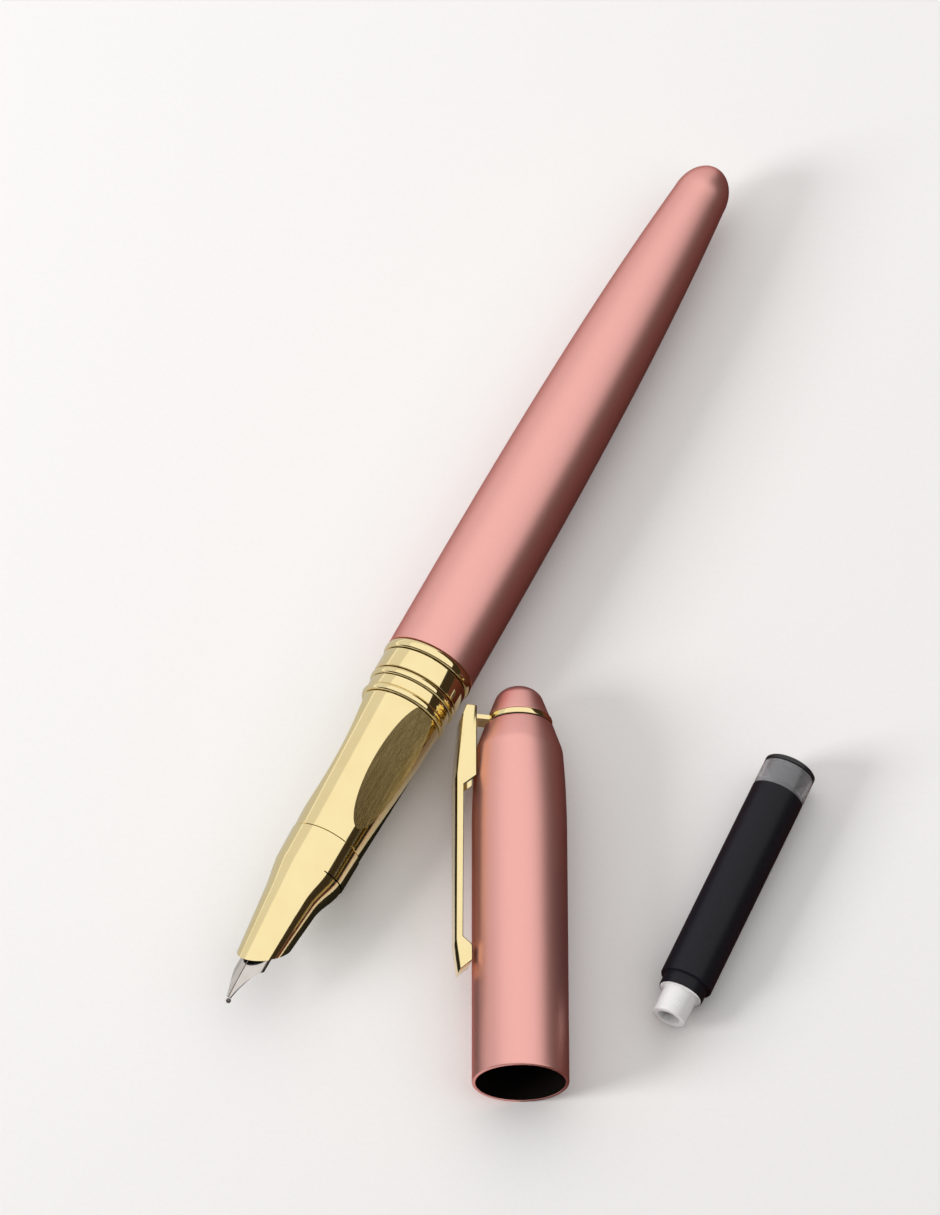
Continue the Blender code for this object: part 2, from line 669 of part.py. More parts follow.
def make_cap(axis, lacquer, black, steel):
    steps = 4
    taper = []
    for step in range(steps):
        share = step / steps
        taper.append((cap_radius - CAP_TAPER_INSET * share**2, cap_taper_start + CAP_TAPER_LENGTH * share))
    tube = [
        (cap_radius, 0.0),
        *taper,
        (cap_top_radius, cap_shoulder_start),
        (cap_shoulder_radius, cap_top),
        (screw_hole_radius, cap_top),
        (screw_hole_radius, cap_inner_top),
        (cap_shoulder_radius - CAP_WALL, cap_inner_top),
        (cap_top_radius - CAP_WALL, cap_shoulder_start),
        (cap_bore, cap_taper_start),
        (cap_bore, 0.0),
    ]
    turned("cap_tube", tube, axis, lacquer, ROUND)

    inset = CAP_WALL + FIT_GAP
    liner_wall = cap_bore - FIT_GAP - liner_bore
    liner = [
        (cap_bore - FIT_GAP, LINER_START),
        (cap_bore - FIT_GAP, cap_taper_start),
        (cap_top_radius - inset, cap_shoulder_start),
        (cap_shoulder_radius - inset, liner_top),
        (screw_hole_radius, liner_top),
        (screw_hole_radius, liner_end),
        (cap_shoulder_radius - inset - liner_wall, liner_end),
        (cap_top_radius - inset - liner_wall, cap_shoulder_start),
        (liner_bore, cap_taper_start),
        (liner_bore, LINER_START),
    ]
    turned("inner_cap", liner, axis, black, RING_ROUND)

    screw_end = finial_start + SCREW_DEPTH
    screw_head_end = screw_head_start + SCREW_HEAD_HEIGHT
    screw = [
        (0.0, screw_head_start),
        (SCREW_HEAD_RADIUS, screw_head_start),
        (SCREW_HEAD_RADIUS, screw_head_end),
        (SCREW_RADIUS, screw_head_end),
        (SCREW_RADIUS, screw_end),
        (0.0, screw_end),
    ]
    turned("finial_screw", screw, axis, steel, FINE_ROUND)
    finial_end = finial_start + FINIAL_LENGTH
    crown_centre = (0.0, finial_end - FINIAL_CROWN_LENGTH)
    crown = ellipse(
        crown_centre, FINIAL_CROWN_RADIUS, FINIAL_CROWN_LENGTH, FINIAL_CROWN_START, 90.0, PROFILE_STEPS
    )
    finial = [
        (0.0, screw_end + FIT_GAP),
        (screw_hole_radius, screw_end + FIT_GAP),
        (screw_hole_radius, finial_start),
        (finial_radius, finial_start),
        *crown[:-1],
        (0.0, finial_end),
    ]
    turned("cap_finial", finial, axis, lacquer, RING_ROUND)


def clip_half_width(height):
    """Half the clip's width, narrowing evenly from its top to its tip."""
    share = (clip_top - height) / CLIP_LENGTH
    return (CLIP_WIDTH_TOP + (CLIP_WIDTH_TIP - CLIP_WIDTH_TOP) * share) / 2.0


def make_clip(axis, gold):
    ring_profile = [
        (screw_hole_radius, clip_ring_end),
        (screw_hole_radius, clip_ring_start),
        (clip_ring_radius, clip_ring_start),
        (clip_ring_radius, clip_ring_end),
    ]
    ring = turned("clip_ring", ring_profile, axis, gold, RING_ROUND)
    tab_low = (clip_ring_radius / 2.0, -TAB_WIDTH / 2.0, clip_ring_start + FIT_GAP)
    tab_high = (tab_end, TAB_WIDTH / 2.0, clip_ring_end - FIT_GAP)
    cut(ring, block("clip_tab", tab_low, tab_high, axis), "UNION")

    reach = cap_radius + CLIP_STAND_OFF
    foot = cap_top_radius + CLIP_SEAT_GAP
    pad = cap_radius + CLIP_SEAT_GAP
    arm = reach - CLIP_ARM_DEPTH
    bend = (clip_crown + CLIP_TOP_SLANT, clip_top - CLIP_TOP_BEND)
    block_bottom = clip_top - CLIP_BLOCK_LENGTH
    tip_top = clip_bottom + CLIP_TIP_LENGTH
    outline = [
        (foot, clip_top),
        (clip_crown, clip_top),
        bend,
        (reach, block_bottom),
        (reach, tip_top),
        (reach - CLIP_TIP_SLANT, clip_bottom),
        (pad, clip_bottom + CLIP_SLOPE),
        (pad, tip_top - CLIP_TIP_SLANT),
        (arm, tip_top + CLIP_TIP_SLANT),
        (arm, block_bottom - CLIP_SLOPE),
        (foot, block_bottom),
    ]
    hollow = [
        (cap_shoulder_radius, clip_top - CLIP_SHEET),
        (clip_crown - CLIP_SHEET, clip_top - CLIP_SHEET),
        (bend[0] - CLIP_SHEET, bend[1]),
        (reach - CLIP_SHEET, block_bottom),
        (reach - CLIP_SHEET, tip_top + CLIP_TIP_SLANT),
        (cap_shoulder_radius, tip_top + CLIP_TIP_SLANT),
    ]
    hinge = place("clip_hinge", None, axis)
    hinge.location = clip_pivot
    clip = prism("clip", outline, clip_half_width, hinge, gold)
    inside = lambda height: clip_half_width(height) - CLIP_SHEET
    channel = prism("clip_channel", hollow, inside, hinge, None)
    for piece in (clip, channel):
        piece.location = -clip_pivot
    cut(clip, channel)


def rest_on_origin(root):
    """Moves everything so that the middle of its underside is the origin."""
    bpy.context.view_layer.update()
    graph = bpy.context.evaluated_depsgraph_get()
    points = []
    for piece in bpy.context.scene.objects:
        if piece.type == "MESH" and not piece.hide_render:
            shape = piece.evaluated_get(graph)
            points += [piece.matrix_world @ vertex.co for vertex in shape.to_mesh().vertices]
    low = Vector([min(point[side] for point in points) for side in range(3)])
    high = Vector([max(point[side] for point in points) for side in range(3)])
    root.location = (-(low.x + high.x) / 2.0, -(low.y + high.y) / 2.0, -low.z)


def main():
    clear_scene()
    lacquer = material("pink_lacquer", "#EBAFA8", 0.25, 0.35)
    gold = material("gold_plate", "#E8CF94", 0.15, 1.0)
    brass = material("turned_brass", "#B8975A", 0.35, 1.0)
    steel = material("nib_steel", "#B1A7A1", 0.2, 1.0)
    alloy = material("tipping_alloy", "#C4C2BE", 0.25, 1.0)
    black = material("black_plastic", "#1B1A1C", 0.45, 0.0)
    ink = material("black_ink", "#131318", 0.1, 0.0)
    plastic = material("cartridge_plastic", "#27262B", 0.3, 0.0)
    glass = material("seal_ball_glass", "#8F9094", 0.1, 0.0)

    root = place("table_place", None, None)
    heading = math.radians(PEN_HEADING)
    roll = math.radians(PEN_ROLL)
    along = Vector((math.sin(heading), math.cos(heading), 0.0))
    left = Vector((-math.cos(heading), math.sin(heading), 0.0))
    upright = Vector((0.0, 0.0, 1.0))
    pen_top = left * math.sin(roll) + upright * math.cos(roll)
    pen_place = Vector((0.0, 0.0, mouth_ring_radius))
    pen = axis_empty("pen_axis", root, pen_place, along, pen_top)
    make_barrel(pen, lacquer, gold, brass)
    make_trim(pen, gold)
    make_grip(pen, gold)
    make_hood(pen, gold)
    make_nib(pen, steel, alloy)
    make_feed(pen, black)
    make_connector(pen, black, steel)

    fitted = axis_empty("cartridge_axis", root, pen_place + along * neck_tip, along, upright)
    floating_drop = BALL_RADIUS + FIT_GAP - cavity_radius
    floating = (floating_drop, 0.0, (ink_top + end_cap_start - END_CAP_SPIGOT) / 2.0)
    make_cartridge("cartridge", fitted, floating, plastic, ink, glass)

    clip_raise = math.radians(CAP_CLIP_RAISE)
    clear_of_pen = mouth_ring_radius + LYING_GAP - CAP_SETBACK * math.sin(heading)
    clip_overhang = clip_crown + CLIP_WIDTH_TOP / 2.0 * math.sin(clip_raise)
    cap_x = clip_overhang + clear_of_pen / math.cos(heading)
    cap_place = (cap_x, -CAP_SETBACK - clip_top, cap_radius)
    clip_side = (-math.cos(clip_raise), 0.0, math.sin(clip_raise))
    cap = axis_empty("cap_axis", root, cap_place, (0.0, 1.0, 0.0), clip_side)
    make_cap(cap, lacquer, black, steel)
    make_clip(cap, gold)

    spare_heading = math.radians(SPARE_HEADING)
    spare_along = Vector((math.sin(spare_heading), math.cos(spare_heading), 0.0))
    spare_middle = Vector((SPARE_CENTRE_X, SPARE_CENTRE_Y, CARTRIDGE_RADIUS))
    spare_tip = spare_middle - spare_along * (CARTRIDGE_LENGTH / 2.0)
    spare = axis_empty("spare_axis", root, spare_tip, spare_along, upright)
    sealed = (0.0, 0.0, BALL_RADIUS + CARTRIDGE_WALL)
    make_cartridge("spare_cartridge", spare, sealed, plastic, ink, glass)

    rest_on_origin(root)


main()
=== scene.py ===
# %% [markdown]
# # A slim fountain pen, its cap and a spare cartridge
# This lesson dresses a CAD model of a fountain pen. The pen lies open on a table: a rose lacquered
# barrel, a polished gold section with two scooped finger rests, and a hood that leaves only the
# point of the nib in sight. Its cap and one ink cartridge lie beside it.
# The CAD model, called the frame here, gives every piece its place and its motion. We load it first
# and keep its box, because the dressed pen has to stay the same size.

# %% Load the frame
import json
import math

import bmesh
import bpy
from mathutils import Matrix, Vector

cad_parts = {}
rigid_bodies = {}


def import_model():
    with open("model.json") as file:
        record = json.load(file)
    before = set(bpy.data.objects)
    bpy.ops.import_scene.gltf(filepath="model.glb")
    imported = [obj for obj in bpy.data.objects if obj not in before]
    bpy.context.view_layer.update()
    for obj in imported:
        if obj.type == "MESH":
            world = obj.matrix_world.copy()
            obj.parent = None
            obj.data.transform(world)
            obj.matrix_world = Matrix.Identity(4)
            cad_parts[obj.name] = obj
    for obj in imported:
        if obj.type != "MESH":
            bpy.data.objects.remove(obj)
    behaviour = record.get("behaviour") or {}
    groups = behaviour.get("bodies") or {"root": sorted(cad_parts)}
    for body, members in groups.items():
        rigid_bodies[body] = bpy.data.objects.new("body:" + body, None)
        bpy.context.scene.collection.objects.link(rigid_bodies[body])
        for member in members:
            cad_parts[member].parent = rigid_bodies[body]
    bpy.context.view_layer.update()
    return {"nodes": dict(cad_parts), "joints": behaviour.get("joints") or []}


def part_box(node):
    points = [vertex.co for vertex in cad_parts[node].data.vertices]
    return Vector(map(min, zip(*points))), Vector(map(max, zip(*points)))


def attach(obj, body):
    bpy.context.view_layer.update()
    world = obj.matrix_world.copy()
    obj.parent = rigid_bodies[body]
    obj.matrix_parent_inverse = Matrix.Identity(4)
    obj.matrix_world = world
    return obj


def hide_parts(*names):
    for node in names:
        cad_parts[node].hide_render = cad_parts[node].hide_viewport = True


for startup in list(bpy.data.objects):
    bpy.data.objects.remove(startup)
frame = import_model()
joints = {joint["name"]: joint for joint in frame["joints"]}
print("nodes in the frame:", len(frame["nodes"]))

# %% [markdown]
# ## Colours, nodes and grain
# A shader works in linear light, while a colour that we pick is written in sRGB. One small
# function turns a hex value into linear light. Another adds a node, sets its options, and fills
# each input either with a number or with a link from another node.
# Most finishes share one idea: a real surface is never quite even, so a fine noise moves its colour
# and its gloss a little. A Mapping node of the texture kind divides by its scale, so the grain can
# be given in millimetres, and it can be longer one way, as brushed lines are.

# %% Colour, node and finish helpers
MM = 0.001
MIX_FIRST, MIX_SECOND, MIX_COLOUR = 6, 7, 2


def linear(hex_colour):
    """An sRGB hex value such as #EBAFA8 as linear RGBA."""
    channels = [int(hex_colour[i : i + 2], 16) / 255.0 for i in (1, 3, 5)]
    light = [c / 12.92 if c <= 0.04045 else ((c + 0.055) / 1.055) ** 2.4 for c in channels]
    return (*light, 1.0)


def add_node(tree, kind, inputs, **settings):
    """A new node with its settings, and each named or numbered input given a value or a link."""
    node = tree.nodes.new(kind)
    for name, value in settings.items():
        setattr(node, name, value)
    for name, value in inputs.items():
        if isinstance(value, bpy.types.NodeSocket):
            tree.links.new(value, node.inputs[name])
        else:
            node.inputs[name].default_value = value
    return node


def grained(name, colours, gloss, grain, turn=0.0, **sockets):
    """A finish between two hex colours and two roughnesses, mixed by a noise with a grain in mm."""
    finish = bpy.data.materials.new(name)
    finish.use_nodes = True
    tree = finish.node_tree
    shader = tree.nodes["Principled BSDF"]
    for socket, value in sockets.items():
        shader.inputs[socket.replace("_", " ")].default_value = value
    place = add_node(tree, "ShaderNodeTexCoord", {}).outputs["Object"]
    size = {"Vector": place, "Scale": Vector(grain) * MM, "Rotation": (0.0, 0.0, turn)}
    size = add_node(tree, "ShaderNodeMapping", size, vector_type="TEXTURE")
    noise = {"Vector": size.outputs["Vector"], "Scale": 1.0, "Detail": 3.0}
    noise = add_node(tree, "ShaderNodeTexNoise", noise).outputs["Fac"]
    tint = {"Factor": noise, MIX_FIRST: linear(colours[0]), MIX_SECOND: linear(colours[1])}
    tint = add_node(tree, "ShaderNodeMix", tint, data_type="RGBA").outputs[MIX_COLOUR]
    rough = {"Value": noise, "To Min": gloss[0], "To Max": gloss[1]}
    rough = add_node(tree, "ShaderNodeMapRange", rough).outputs["Result"]
    tree.links.new(tint, shader.inputs["Base Color"])
    tree.links.new(rough, shader.inputs["Roughness"])
    print("finish:", name)
    return finish


print("rose as linear light:", [round(c, 3) for c in linear("#EFABA4")])

# %% [markdown]
# ## Rose lacquer
# The barrel and cap are brass tubes under a metallic lacquer: fine aluminium flakes in a tinted
# clear coat, sprayed and baked. The flakes make it shine softly like metal, so it falls to dark
# brown where it mirrors something dark. The flakes are drawn at 0.12 mm, so that they can show. A
# spray coat also has a slight orange peel, about 0.8 mm from crest to crest, which a bump gives.

# %% Rose lacquer
ORANGE_PEEL, PEEL_DEPTH = 0.8 * MM, 0.02 * MM
rose_lacquer = grained(
    "rose_metallic_lacquer_sprayed",
    ("#EFABA4", "#FBC0B8"),
    (0.36, 0.46),
    (0.12, 0.12, 0.12),
    Metallic=0.94,
    Specular_Tint=linear("#9C4A3C"),
    Coat_Weight=0.12,
    Coat_Roughness=0.25,
)
tree = rose_lacquer.node_tree
place = tree.nodes["Texture Coordinate"].outputs["Object"]
peel = {"Vector": place, "Scale": 1.0 / ORANGE_PEEL, "Detail": 1.0}
peel = add_node(tree, "ShaderNodeTexNoise", peel).outputs["Fac"]
bump = {"Height": peel, "Strength": 0.06, "Distance": PEEL_DEPTH}
bump = add_node(tree, "ShaderNodeBump", bump).outputs["Normal"]
tree.links.new(bump, tree.nodes["Principled BSDF"].inputs["Normal"])

# %% [markdown]
# ## Gold plate
# The section, the rings and the clip are brass, turned and buffed, with a thin pale gold plating.
# Buffing leaves a mirror with a very faint haze that varies over about 3 mm, as the wheel leaves
# it, so the soft boxes show in it with crisp edges. The finger rests are ground with a belt along
# the pen before they are plated, and look satin beside that mirror. The belt's lines are about
# 0.2 mm apart and 5 mm long, and they are turned to the pen's heading on the table.

# %% Polished and brushed gold
pen_along = Vector(joints["barrel_unscrew"]["axis"])
PEN_HEADING = math.atan2(pen_along.x, pen_along.y)
LINE_DEPTH = 0.01 * MM
polished_gold = grained(
    "gold_plate_buffed", ("#F2DDA4", "#F8E7B4"), (0.05, 0.11), (3.0, 3.0, 3.0), Metallic=1.0
)
brushed_gold = grained(
    "gold_plate_brushed",
    ("#DFC27C", "#F3DA9C"),
    (0.2, 0.34),
    (0.2, 5.0, 0.2),
    turn=-PEN_HEADING,
    Metallic=1.0,
)
tree = brushed_gold.node_tree
belt_lines = tree.nodes["Noise Texture"].outputs["Fac"]
bump = {"Height": belt_lines, "Strength": 0.35, "Distance": LINE_DEPTH}
bump = add_node(tree, "ShaderNodeBump", bump).outputs["Normal"]
tree.links.new(bump, tree.nodes["Principled BSDF"].inputs["Normal"])

# %% [markdown]
# ## The other metals
# The nib is rolled stainless steel, polished but with faint rolling marks. Its point is a welded
# ball of a hard grey alloy, ground and slightly matt. The barrel's thread bush is plain turned
# brass, with tool marks 0.1 mm apart. The bores of the barrel and cap, the inside of the hood and
# the cut edge of its mouth get a dull black with no gloss: painted shade, for the shade in them.

# %% Steel, tipping alloy, brass and blackened bore
steel = grained(
    "stainless_steel_polished", ("#C6BFBA", "#DAD4CE"), (0.12, 0.22), (1.5, 1.5, 1.5), Metallic=1.0
)
tipping = grained(
    "tipping_alloy_ground", ("#6E6864", "#8C8580"), (0.3, 0.42), (0.1, 0.1, 0.1), Metallic=1.0
)
brass = grained("brass_turned", ("#A88748", "#C9A865"), (0.25, 0.45), (0.1, 0.1, 0.1), Metallic=1.0)
painted_shade_bore = grained(
    # A dull black with no gloss: painted shade for the inside of bores and of the hood.
    "brass_bore_painted_shade",
    ("#0D0B0A", "#191513"),
    (0.5, 0.7),
    (0.4, 0.4, 0.4),
    Specular_IOR_Level=0.0,
)

# %% [markdown]
# ## Plastics, ink and glass
# The connector, feed and cap liner are black ABS, moulded with a fine spark grain of about 0.15 mm.
# The cartridge is moulded polyethylene: smoky clear in the air space, stained nearly black as far
# as the ink stands, milky at the neck, and closed by a black disc. Its flow marks are about 1.2 mm
# wide. The ink is a black liquid, and a small glass ball seals the neck until the cartridge is
# pushed home.

# %% Plastics, ink and glass
FLOW = (1.2, 1.2, 1.2)
POLYETHYLENE_IOR, GLASS_IOR = 1.51, 1.52
black_plastic = grained(
    "abs_black_moulded", ("#151416", "#232225"), (0.38, 0.55), (0.15, 0.15, 0.15)
)
black_cap = grained(
    "polyethylene_black_moulded", ("#19181B", "#28272B"), (0.25, 0.4), (0.3, 0.3, 0.3)
)
stained = grained(
    "polyethylene_ink_stained",
    ("#131318", "#1E1E25"),
    (0.28, 0.42),
    (0.5, 0.5, 0.5),
    Specular_IOR_Level=0.2,
)
black_ink = grained("ink_black_liquid", ("#0C0C10", "#15151B"), (0.03, 0.08), (2.0, 2.0, 2.0))
smoky_clear = grained(
    "polyethylene_smoky_clear",
    ("#B8B8BC", "#CACACE"),
    (0.05, 0.12),
    FLOW,
    Transmission_Weight=0.75,
    IOR=POLYETHYLENE_IOR,
)
milky = grained(
    "polyethylene_milky",
    ("#F4F4F4", "#FAFAFA"),
    (0.2, 0.32),
    FLOW,
    Transmission_Weight=0.12,
    IOR=POLYETHYLENE_IOR,
)
glass = grained(
    "soda_glass_ground",
    ("#C9CDCC", "#DDE0DF"),
    (0.02, 0.06),
    FLOW,
    Transmission_Weight=1.0,
    IOR=GLASS_IOR,
)

# %% [markdown]
# ## Where the pieces lie
# Each piece is modelled upright at the origin, with its axis on Z and its top side on X, and is
# then laid down by one matrix. The matrices come from the frame's joints: the barrel turns about
# the pen's axis, the clip about a pin across the cap, and the spare cartridge slides along its own
# length.

# %% Axes of the pen, the cap and the cartridges
PEN_ROLL = math.radians(20.0)
INK_MIDDLE = 19.8
UP = Vector((0.0, 0.0, 1.0))


def lying(origin, along, top):
    """The matrix that lays an upright piece down: Z to along, X as near to top as it can be."""
    z = Vector(along).normalized()
    x = (Vector(top) - Vector(top).dot(z) * z).normalized()
    return Matrix.Translation(Vector(origin)) @ Matrix((x, z.cross(x), z)).transposed().to_4x4()


def middle(node):
    """The centre of a CAD node's box."""
    low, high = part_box(node)
    return (low + high) / 2.0


pen_side = UP.cross(pen_along)
pen_top = pen_side * math.sin(PEN_ROLL) + UP * math.cos(PEN_ROLL)
pen_place = lying(joints["barrel_unscrew"]["pos_m"], pen_along, pen_top)
fitted_place = lying(middle("cartridge_ink") - pen_along * INK_MIDDLE * MM, pen_along, UP)
spare_along = Vector(joints["spare_slide"]["axis"])
spare_place = lying(middle("spare_cartridge_ink") - spare_along * INK_MIDDLE * MM, spare_along, UP)
cap_low, cap_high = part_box("cap_tube")
cap_lip = Vector(((cap_low.x + cap_high.x) / 2.0, cap_low.y, (cap_low.z + cap_high.z) / 2.0))
cap_along = Vector((0.0, 1.0, 0.0))
cap_place = lying(cap_lip, cap_along, cap_along.cross(Vector(joints["clip_flex"]["axis"])))
print("pen joint at", [round(v / MM, 2) for v in pen_place.translation], "mm")

# %% [markdown]
# ## Turning on a lathe
# Nearly everything on a pen is turned. A spin of a side profile does the same in a mesh, and a full
# spin merges its seam. Real edges are never razor sharp: a small arc in each corner of the profile
# catches the light as the real one does, and costs less than a bevel afterwards.

# %% Lathe helpers
SEGMENTS = 128
WELD = 1e-7
CORNER_SHARE = 0.45


def soft_corners(profile, cut_back, least=25.0, steps=4):
    """A closed profile with an arc in each corner that turns by at least so many degrees."""
    points = []
    for index, corner in enumerate(profile):
        corner = Vector(corner)
        neighbours = (profile[index - 1], profile[(index + 1) % len(profile)])
        ways = [Vector(neighbour) - corner for neighbour in neighbours]
        if corner.x == 0.0 or ways[0].angle(ways[1]) > math.radians(180.0 - least):
            points.append(corner)
            continue
        cuts = [min(cut_back, CORNER_SHARE * way.length) for way in ways]
        ends = [corner + way.normalized() * cut for way, cut in zip(ways, cuts)]
        for step in range(steps + 1):
            share = step / steps
            points.append(ends[0].lerp(corner, share).lerp(corner.lerp(ends[1], share), share))
    return points


def arc(centre, across, along, start, end, steps=12):
    """Points on an ellipse from one angle to another, in degrees."""
    angles = [math.radians(start + (end - start) * step / steps) for step in range(steps + 1)]
    return [(centre[0] + across * math.cos(a), centre[1] + along * math.sin(a)) for a in angles]


def lathe(profile, segments=SEGMENTS):
    """A closed shape spun about Z from (radius, height) points in millimetres."""
    bm = bmesh.new()
    verts = [bm.verts.new((radius * MM, 0.0, height * MM)) for radius, height in profile]
    edges = [bm.edges.new(pair) for pair in zip(verts, verts[1:])]
    if profile[0][0] > 0.0 or profile[-1][0] > 0.0:
        edges.append(bm.edges.new((verts[-1], verts[0])))
    bmesh.ops.spin(
        bm,
        geom=verts + edges,
        cent=(0.0, 0.0, 0.0),
        axis=(0.0, 0.0, 1.0),
        angle=math.tau,
        steps=segments,
        use_merge=True,
    )
    bmesh.ops.remove_doubles(bm, verts=bm.verts, dist=WELD)
    bmesh.ops.recalc_face_normals(bm, faces=bm.faces)
    return bm


print("lathe ready,", SEGMENTS, "sides")

# %% [markdown]
# ## From mesh to piece
# A finished mesh becomes an object whose place is in its mesh, so the object itself stays at the
# origin. It then rides on a body of the frame, takes that body's motion, and stands for the CAD
# nodes that it replaces. Faces are shaded smooth, and an edge stays sharp from a given angle on.

# %% Handing a piece to the frame
SHARP, GROUND_EDGE = math.radians(30.0), math.radians(6.0)


def as_object(name, bm):
    """A bmesh as an object in the scene."""
    mesh = bpy.data.meshes.new(name)
    bm.to_mesh(mesh)
    bm.free()
    made = bpy.data.objects.new(name, mesh)
    bpy.context.scene.collection.objects.link(made)
    return made


def hand_over(name, bm, place, body, slot, nodes, *finishes, sharp=SHARP):
    """The finished mesh as a piece that lies in its place, rides a body and stands for CAD nodes."""
    bmesh.ops.transform(bm, matrix=place, verts=bm.verts)
    piece = as_object(name, bm)
    piece.data.shade_smooth()
    piece.data.set_sharp_from_angle(angle=sharp)
    for finish in finishes:
        piece.data.materials.append(finish)
    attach(piece, body)
    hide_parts(*nodes)
    print(f"{name}: {len(piece.data.polygons)} faces")
    return piece


print("edges stay sharp from", round(math.degrees(SHARP)), "degrees on")

# %% [markdown]
# ## Barrel
# The barrel is a thin tube that starts straight at the mouth and tapers ever faster to a rounded
# end. It could be a scaled cylinder with a subdivision surface, but a lathe profile gives the exact
# curve. The inside is modelled too, because the barrel unscrews and shows its bore, which is
# painted dark as shade.

# %% Barrel
BARREL_RADIUS, BARREL_START, BARREL_LENGTH = 6.0, 1.4, 85.2
BARREL_TAPER, BARREL_DOME, BARREL_WALL = 0.46, 5.2, 0.9
BARREL_SEAT, BARREL_SEAT_END, BARREL_EDGE, BARREL_EDGE_RISE = 5.35, 10.0, 0.12, 0.04
BARREL_STEPS, DOME_STEPS, BORE_FIRST = 48, 20, 6


def barrel_outside(height):
    """The barrel's outer radius at a height."""
    return BARREL_RADIUS * (1.0 - BARREL_TAPER * (height / BARREL_LENGTH) ** 3)


def paint_bore_shade(bm, low, high=math.inf):
    """Gives the faces between two heights that look towards the axis the second finish, a painted
    shade.
    """
    for face in bm.faces:
        centre = face.calc_center_median()
        outward = Vector((centre.x, centre.y, 0.0)).dot(face.normal)
        face.material_index = int(outward < 0.0 and low * MM < centre.z < high * MM)


dome_start = BARREL_LENGTH - BARREL_DOME
tube = dome_start - BARREL_START
stations = [BARREL_START + tube * step / BARREL_STEPS for step in range(BARREL_STEPS)]
dome = arc((0.0, dome_start), barrel_outside(dome_start), BARREL_DOME, 0.0, 90.0, DOME_STEPS)[:-1]
edge = (BARREL_START + BARREL_EDGE_RISE, BARREL_START + BARREL_EDGE)
profile = [
    (0.0, dome_start + BARREL_DOME / 2.0),
    (barrel_outside(dome_start) - BARREL_WALL, dome_start),
    *[(barrel_outside(h) - BARREL_WALL, h) for h in reversed(stations[BORE_FIRST:])],
    (BARREL_SEAT, BARREL_SEAT_END),
    (BARREL_SEAT, BARREL_START),
    (BARREL_RADIUS - BARREL_EDGE, BARREL_START),
    *[(barrel_outside(h), h) for h in (*edge, *stations[1:])],
    *dome,
    (0.0, BARREL_LENGTH),
]
bm = lathe(profile)
# The bore's inward faces are painted dark, as shade.
paint_bore_shade(bm, 0.0, dome_start)
hand_over(
    "barrel_shell", bm, pen_place, "barrel", "rose_lacquer", ["barrel"], rose_lacquer, painted_shade_bore
)

# %% [markdown]
# ## Gold rings
# Four turned rings dress the joint between barrel and section: a bead on the barrel's mouth, a
# plain collar below it, a slim bead, and the band and bead that stop the cap. The fine dark lines
# between them are real gaps, left between separate rings rather than painted on.

# %% Gold rings
BUSH_BORE, BUSH_RADIUS, BUSH_TOP, RING_BORE = 4.75, 5.25, 3.2, 4.65
BULGE, BEAD_STEPS = 0.3, 16
MOUTH_BEAD, MOUTH_BEAD_TOP = 6.1, 1.3
COLLAR_RADIUS, COLLAR_TOP, COLLAR_BOTTOM, COLLAR_EDGE = 5.85, -0.15, -2.95, 0.16
TRIM_BEAD, TRIM_TOP, TRIM_BOTTOM = 5.9, -3.05, -4.05
STOP_BAND, STOP_TOP, STOP_BAND_BOTTOM, STOP_EDGE = 5.6, -4.15, -5.5, 0.06
STOP_BEAD, STOP_BEAD_TOP, STOP_BOTTOM = 5.8, -5.55, -6.55


def bead(radius, bottom, top):
    """The outside of a half-round bead, from bottom to top."""
    centre = (radius - BULGE, (bottom + top) / 2.0)
    return arc(centre, BULGE, (top - bottom) / 2.0, -90.0, 90.0, BEAD_STEPS)


mouth = [
    (BUSH_BORE, BUSH_TOP),
    (BUSH_BORE, 0.0),
    *bead(MOUTH_BEAD, 0.0, MOUTH_BEAD_TOP),
    (BUSH_RADIUS, MOUTH_BEAD_TOP),
    (BUSH_RADIUS, BUSH_TOP),
]
collar = [
    (RING_BORE, COLLAR_TOP),
    (RING_BORE, COLLAR_BOTTOM),
    (COLLAR_RADIUS, COLLAR_BOTTOM),
    (COLLAR_RADIUS, COLLAR_TOP),
]
trim = [(RING_BORE, TRIM_TOP), (RING_BORE, TRIM_BOTTOM), *bead(TRIM_BEAD, TRIM_BOTTOM, TRIM_TOP)]
stop = [
    (RING_BORE, STOP_TOP),
    (RING_BORE, STOP_BOTTOM),
    *bead(STOP_BEAD, STOP_BOTTOM, STOP_BEAD_TOP),
    (STOP_BAND, STOP_BAND_BOTTOM),
    (STOP_BAND, STOP_TOP),
]
RINGS = (
    ("mouth_bead_ring", mouth, "barrel_sleeve", "barrel_mouth_ring"),
    ("joint_collar", soft_corners(collar, COLLAR_EDGE), "section", "section_collar"),
    ("slim_trim_bead", trim, "section", "trim_ring"),
    ("cap_stop_bead", soft_corners(stop, STOP_EDGE), "section", "cap_stop_ring"),
)
for name, profile, body, node in RINGS:
    hand_over(name, lathe(profile), pen_place, body, "gold_plate", [node], polished_gold)

# %% [markdown]
# ## Carving
# The finger rests and the hood's parting line are cut out of turned shapes, as a milling cutter
# does it. A Boolean modifier makes the cut and keeps the cutter's material on the new faces, and we
# take its result as a plain mesh. The blank is dense, so the cut edge stays crisp and the mirror
# smooth.

# %% Carving helpers
def carved(bm, cutter, operation="DIFFERENCE"):
    """The mesh that is left when a cutter has been taken from it, joined to it, or kept of it."""
    blank, tool = as_object("draft", bm), as_object("draft", cutter)
    change = blank.modifiers.new("carve", "BOOLEAN")
    change.operation = operation
    change.object = tool
    graph = bpy.context.evaluated_depsgraph_get()
    result = bmesh.new()
    result.from_mesh(blank.evaluated_get(graph).to_mesh())
    for used in (blank, tool):
        bpy.data.objects.remove(used)
    bmesh.ops.remove_doubles(result, verts=result.verts, dist=WELD)
    return result


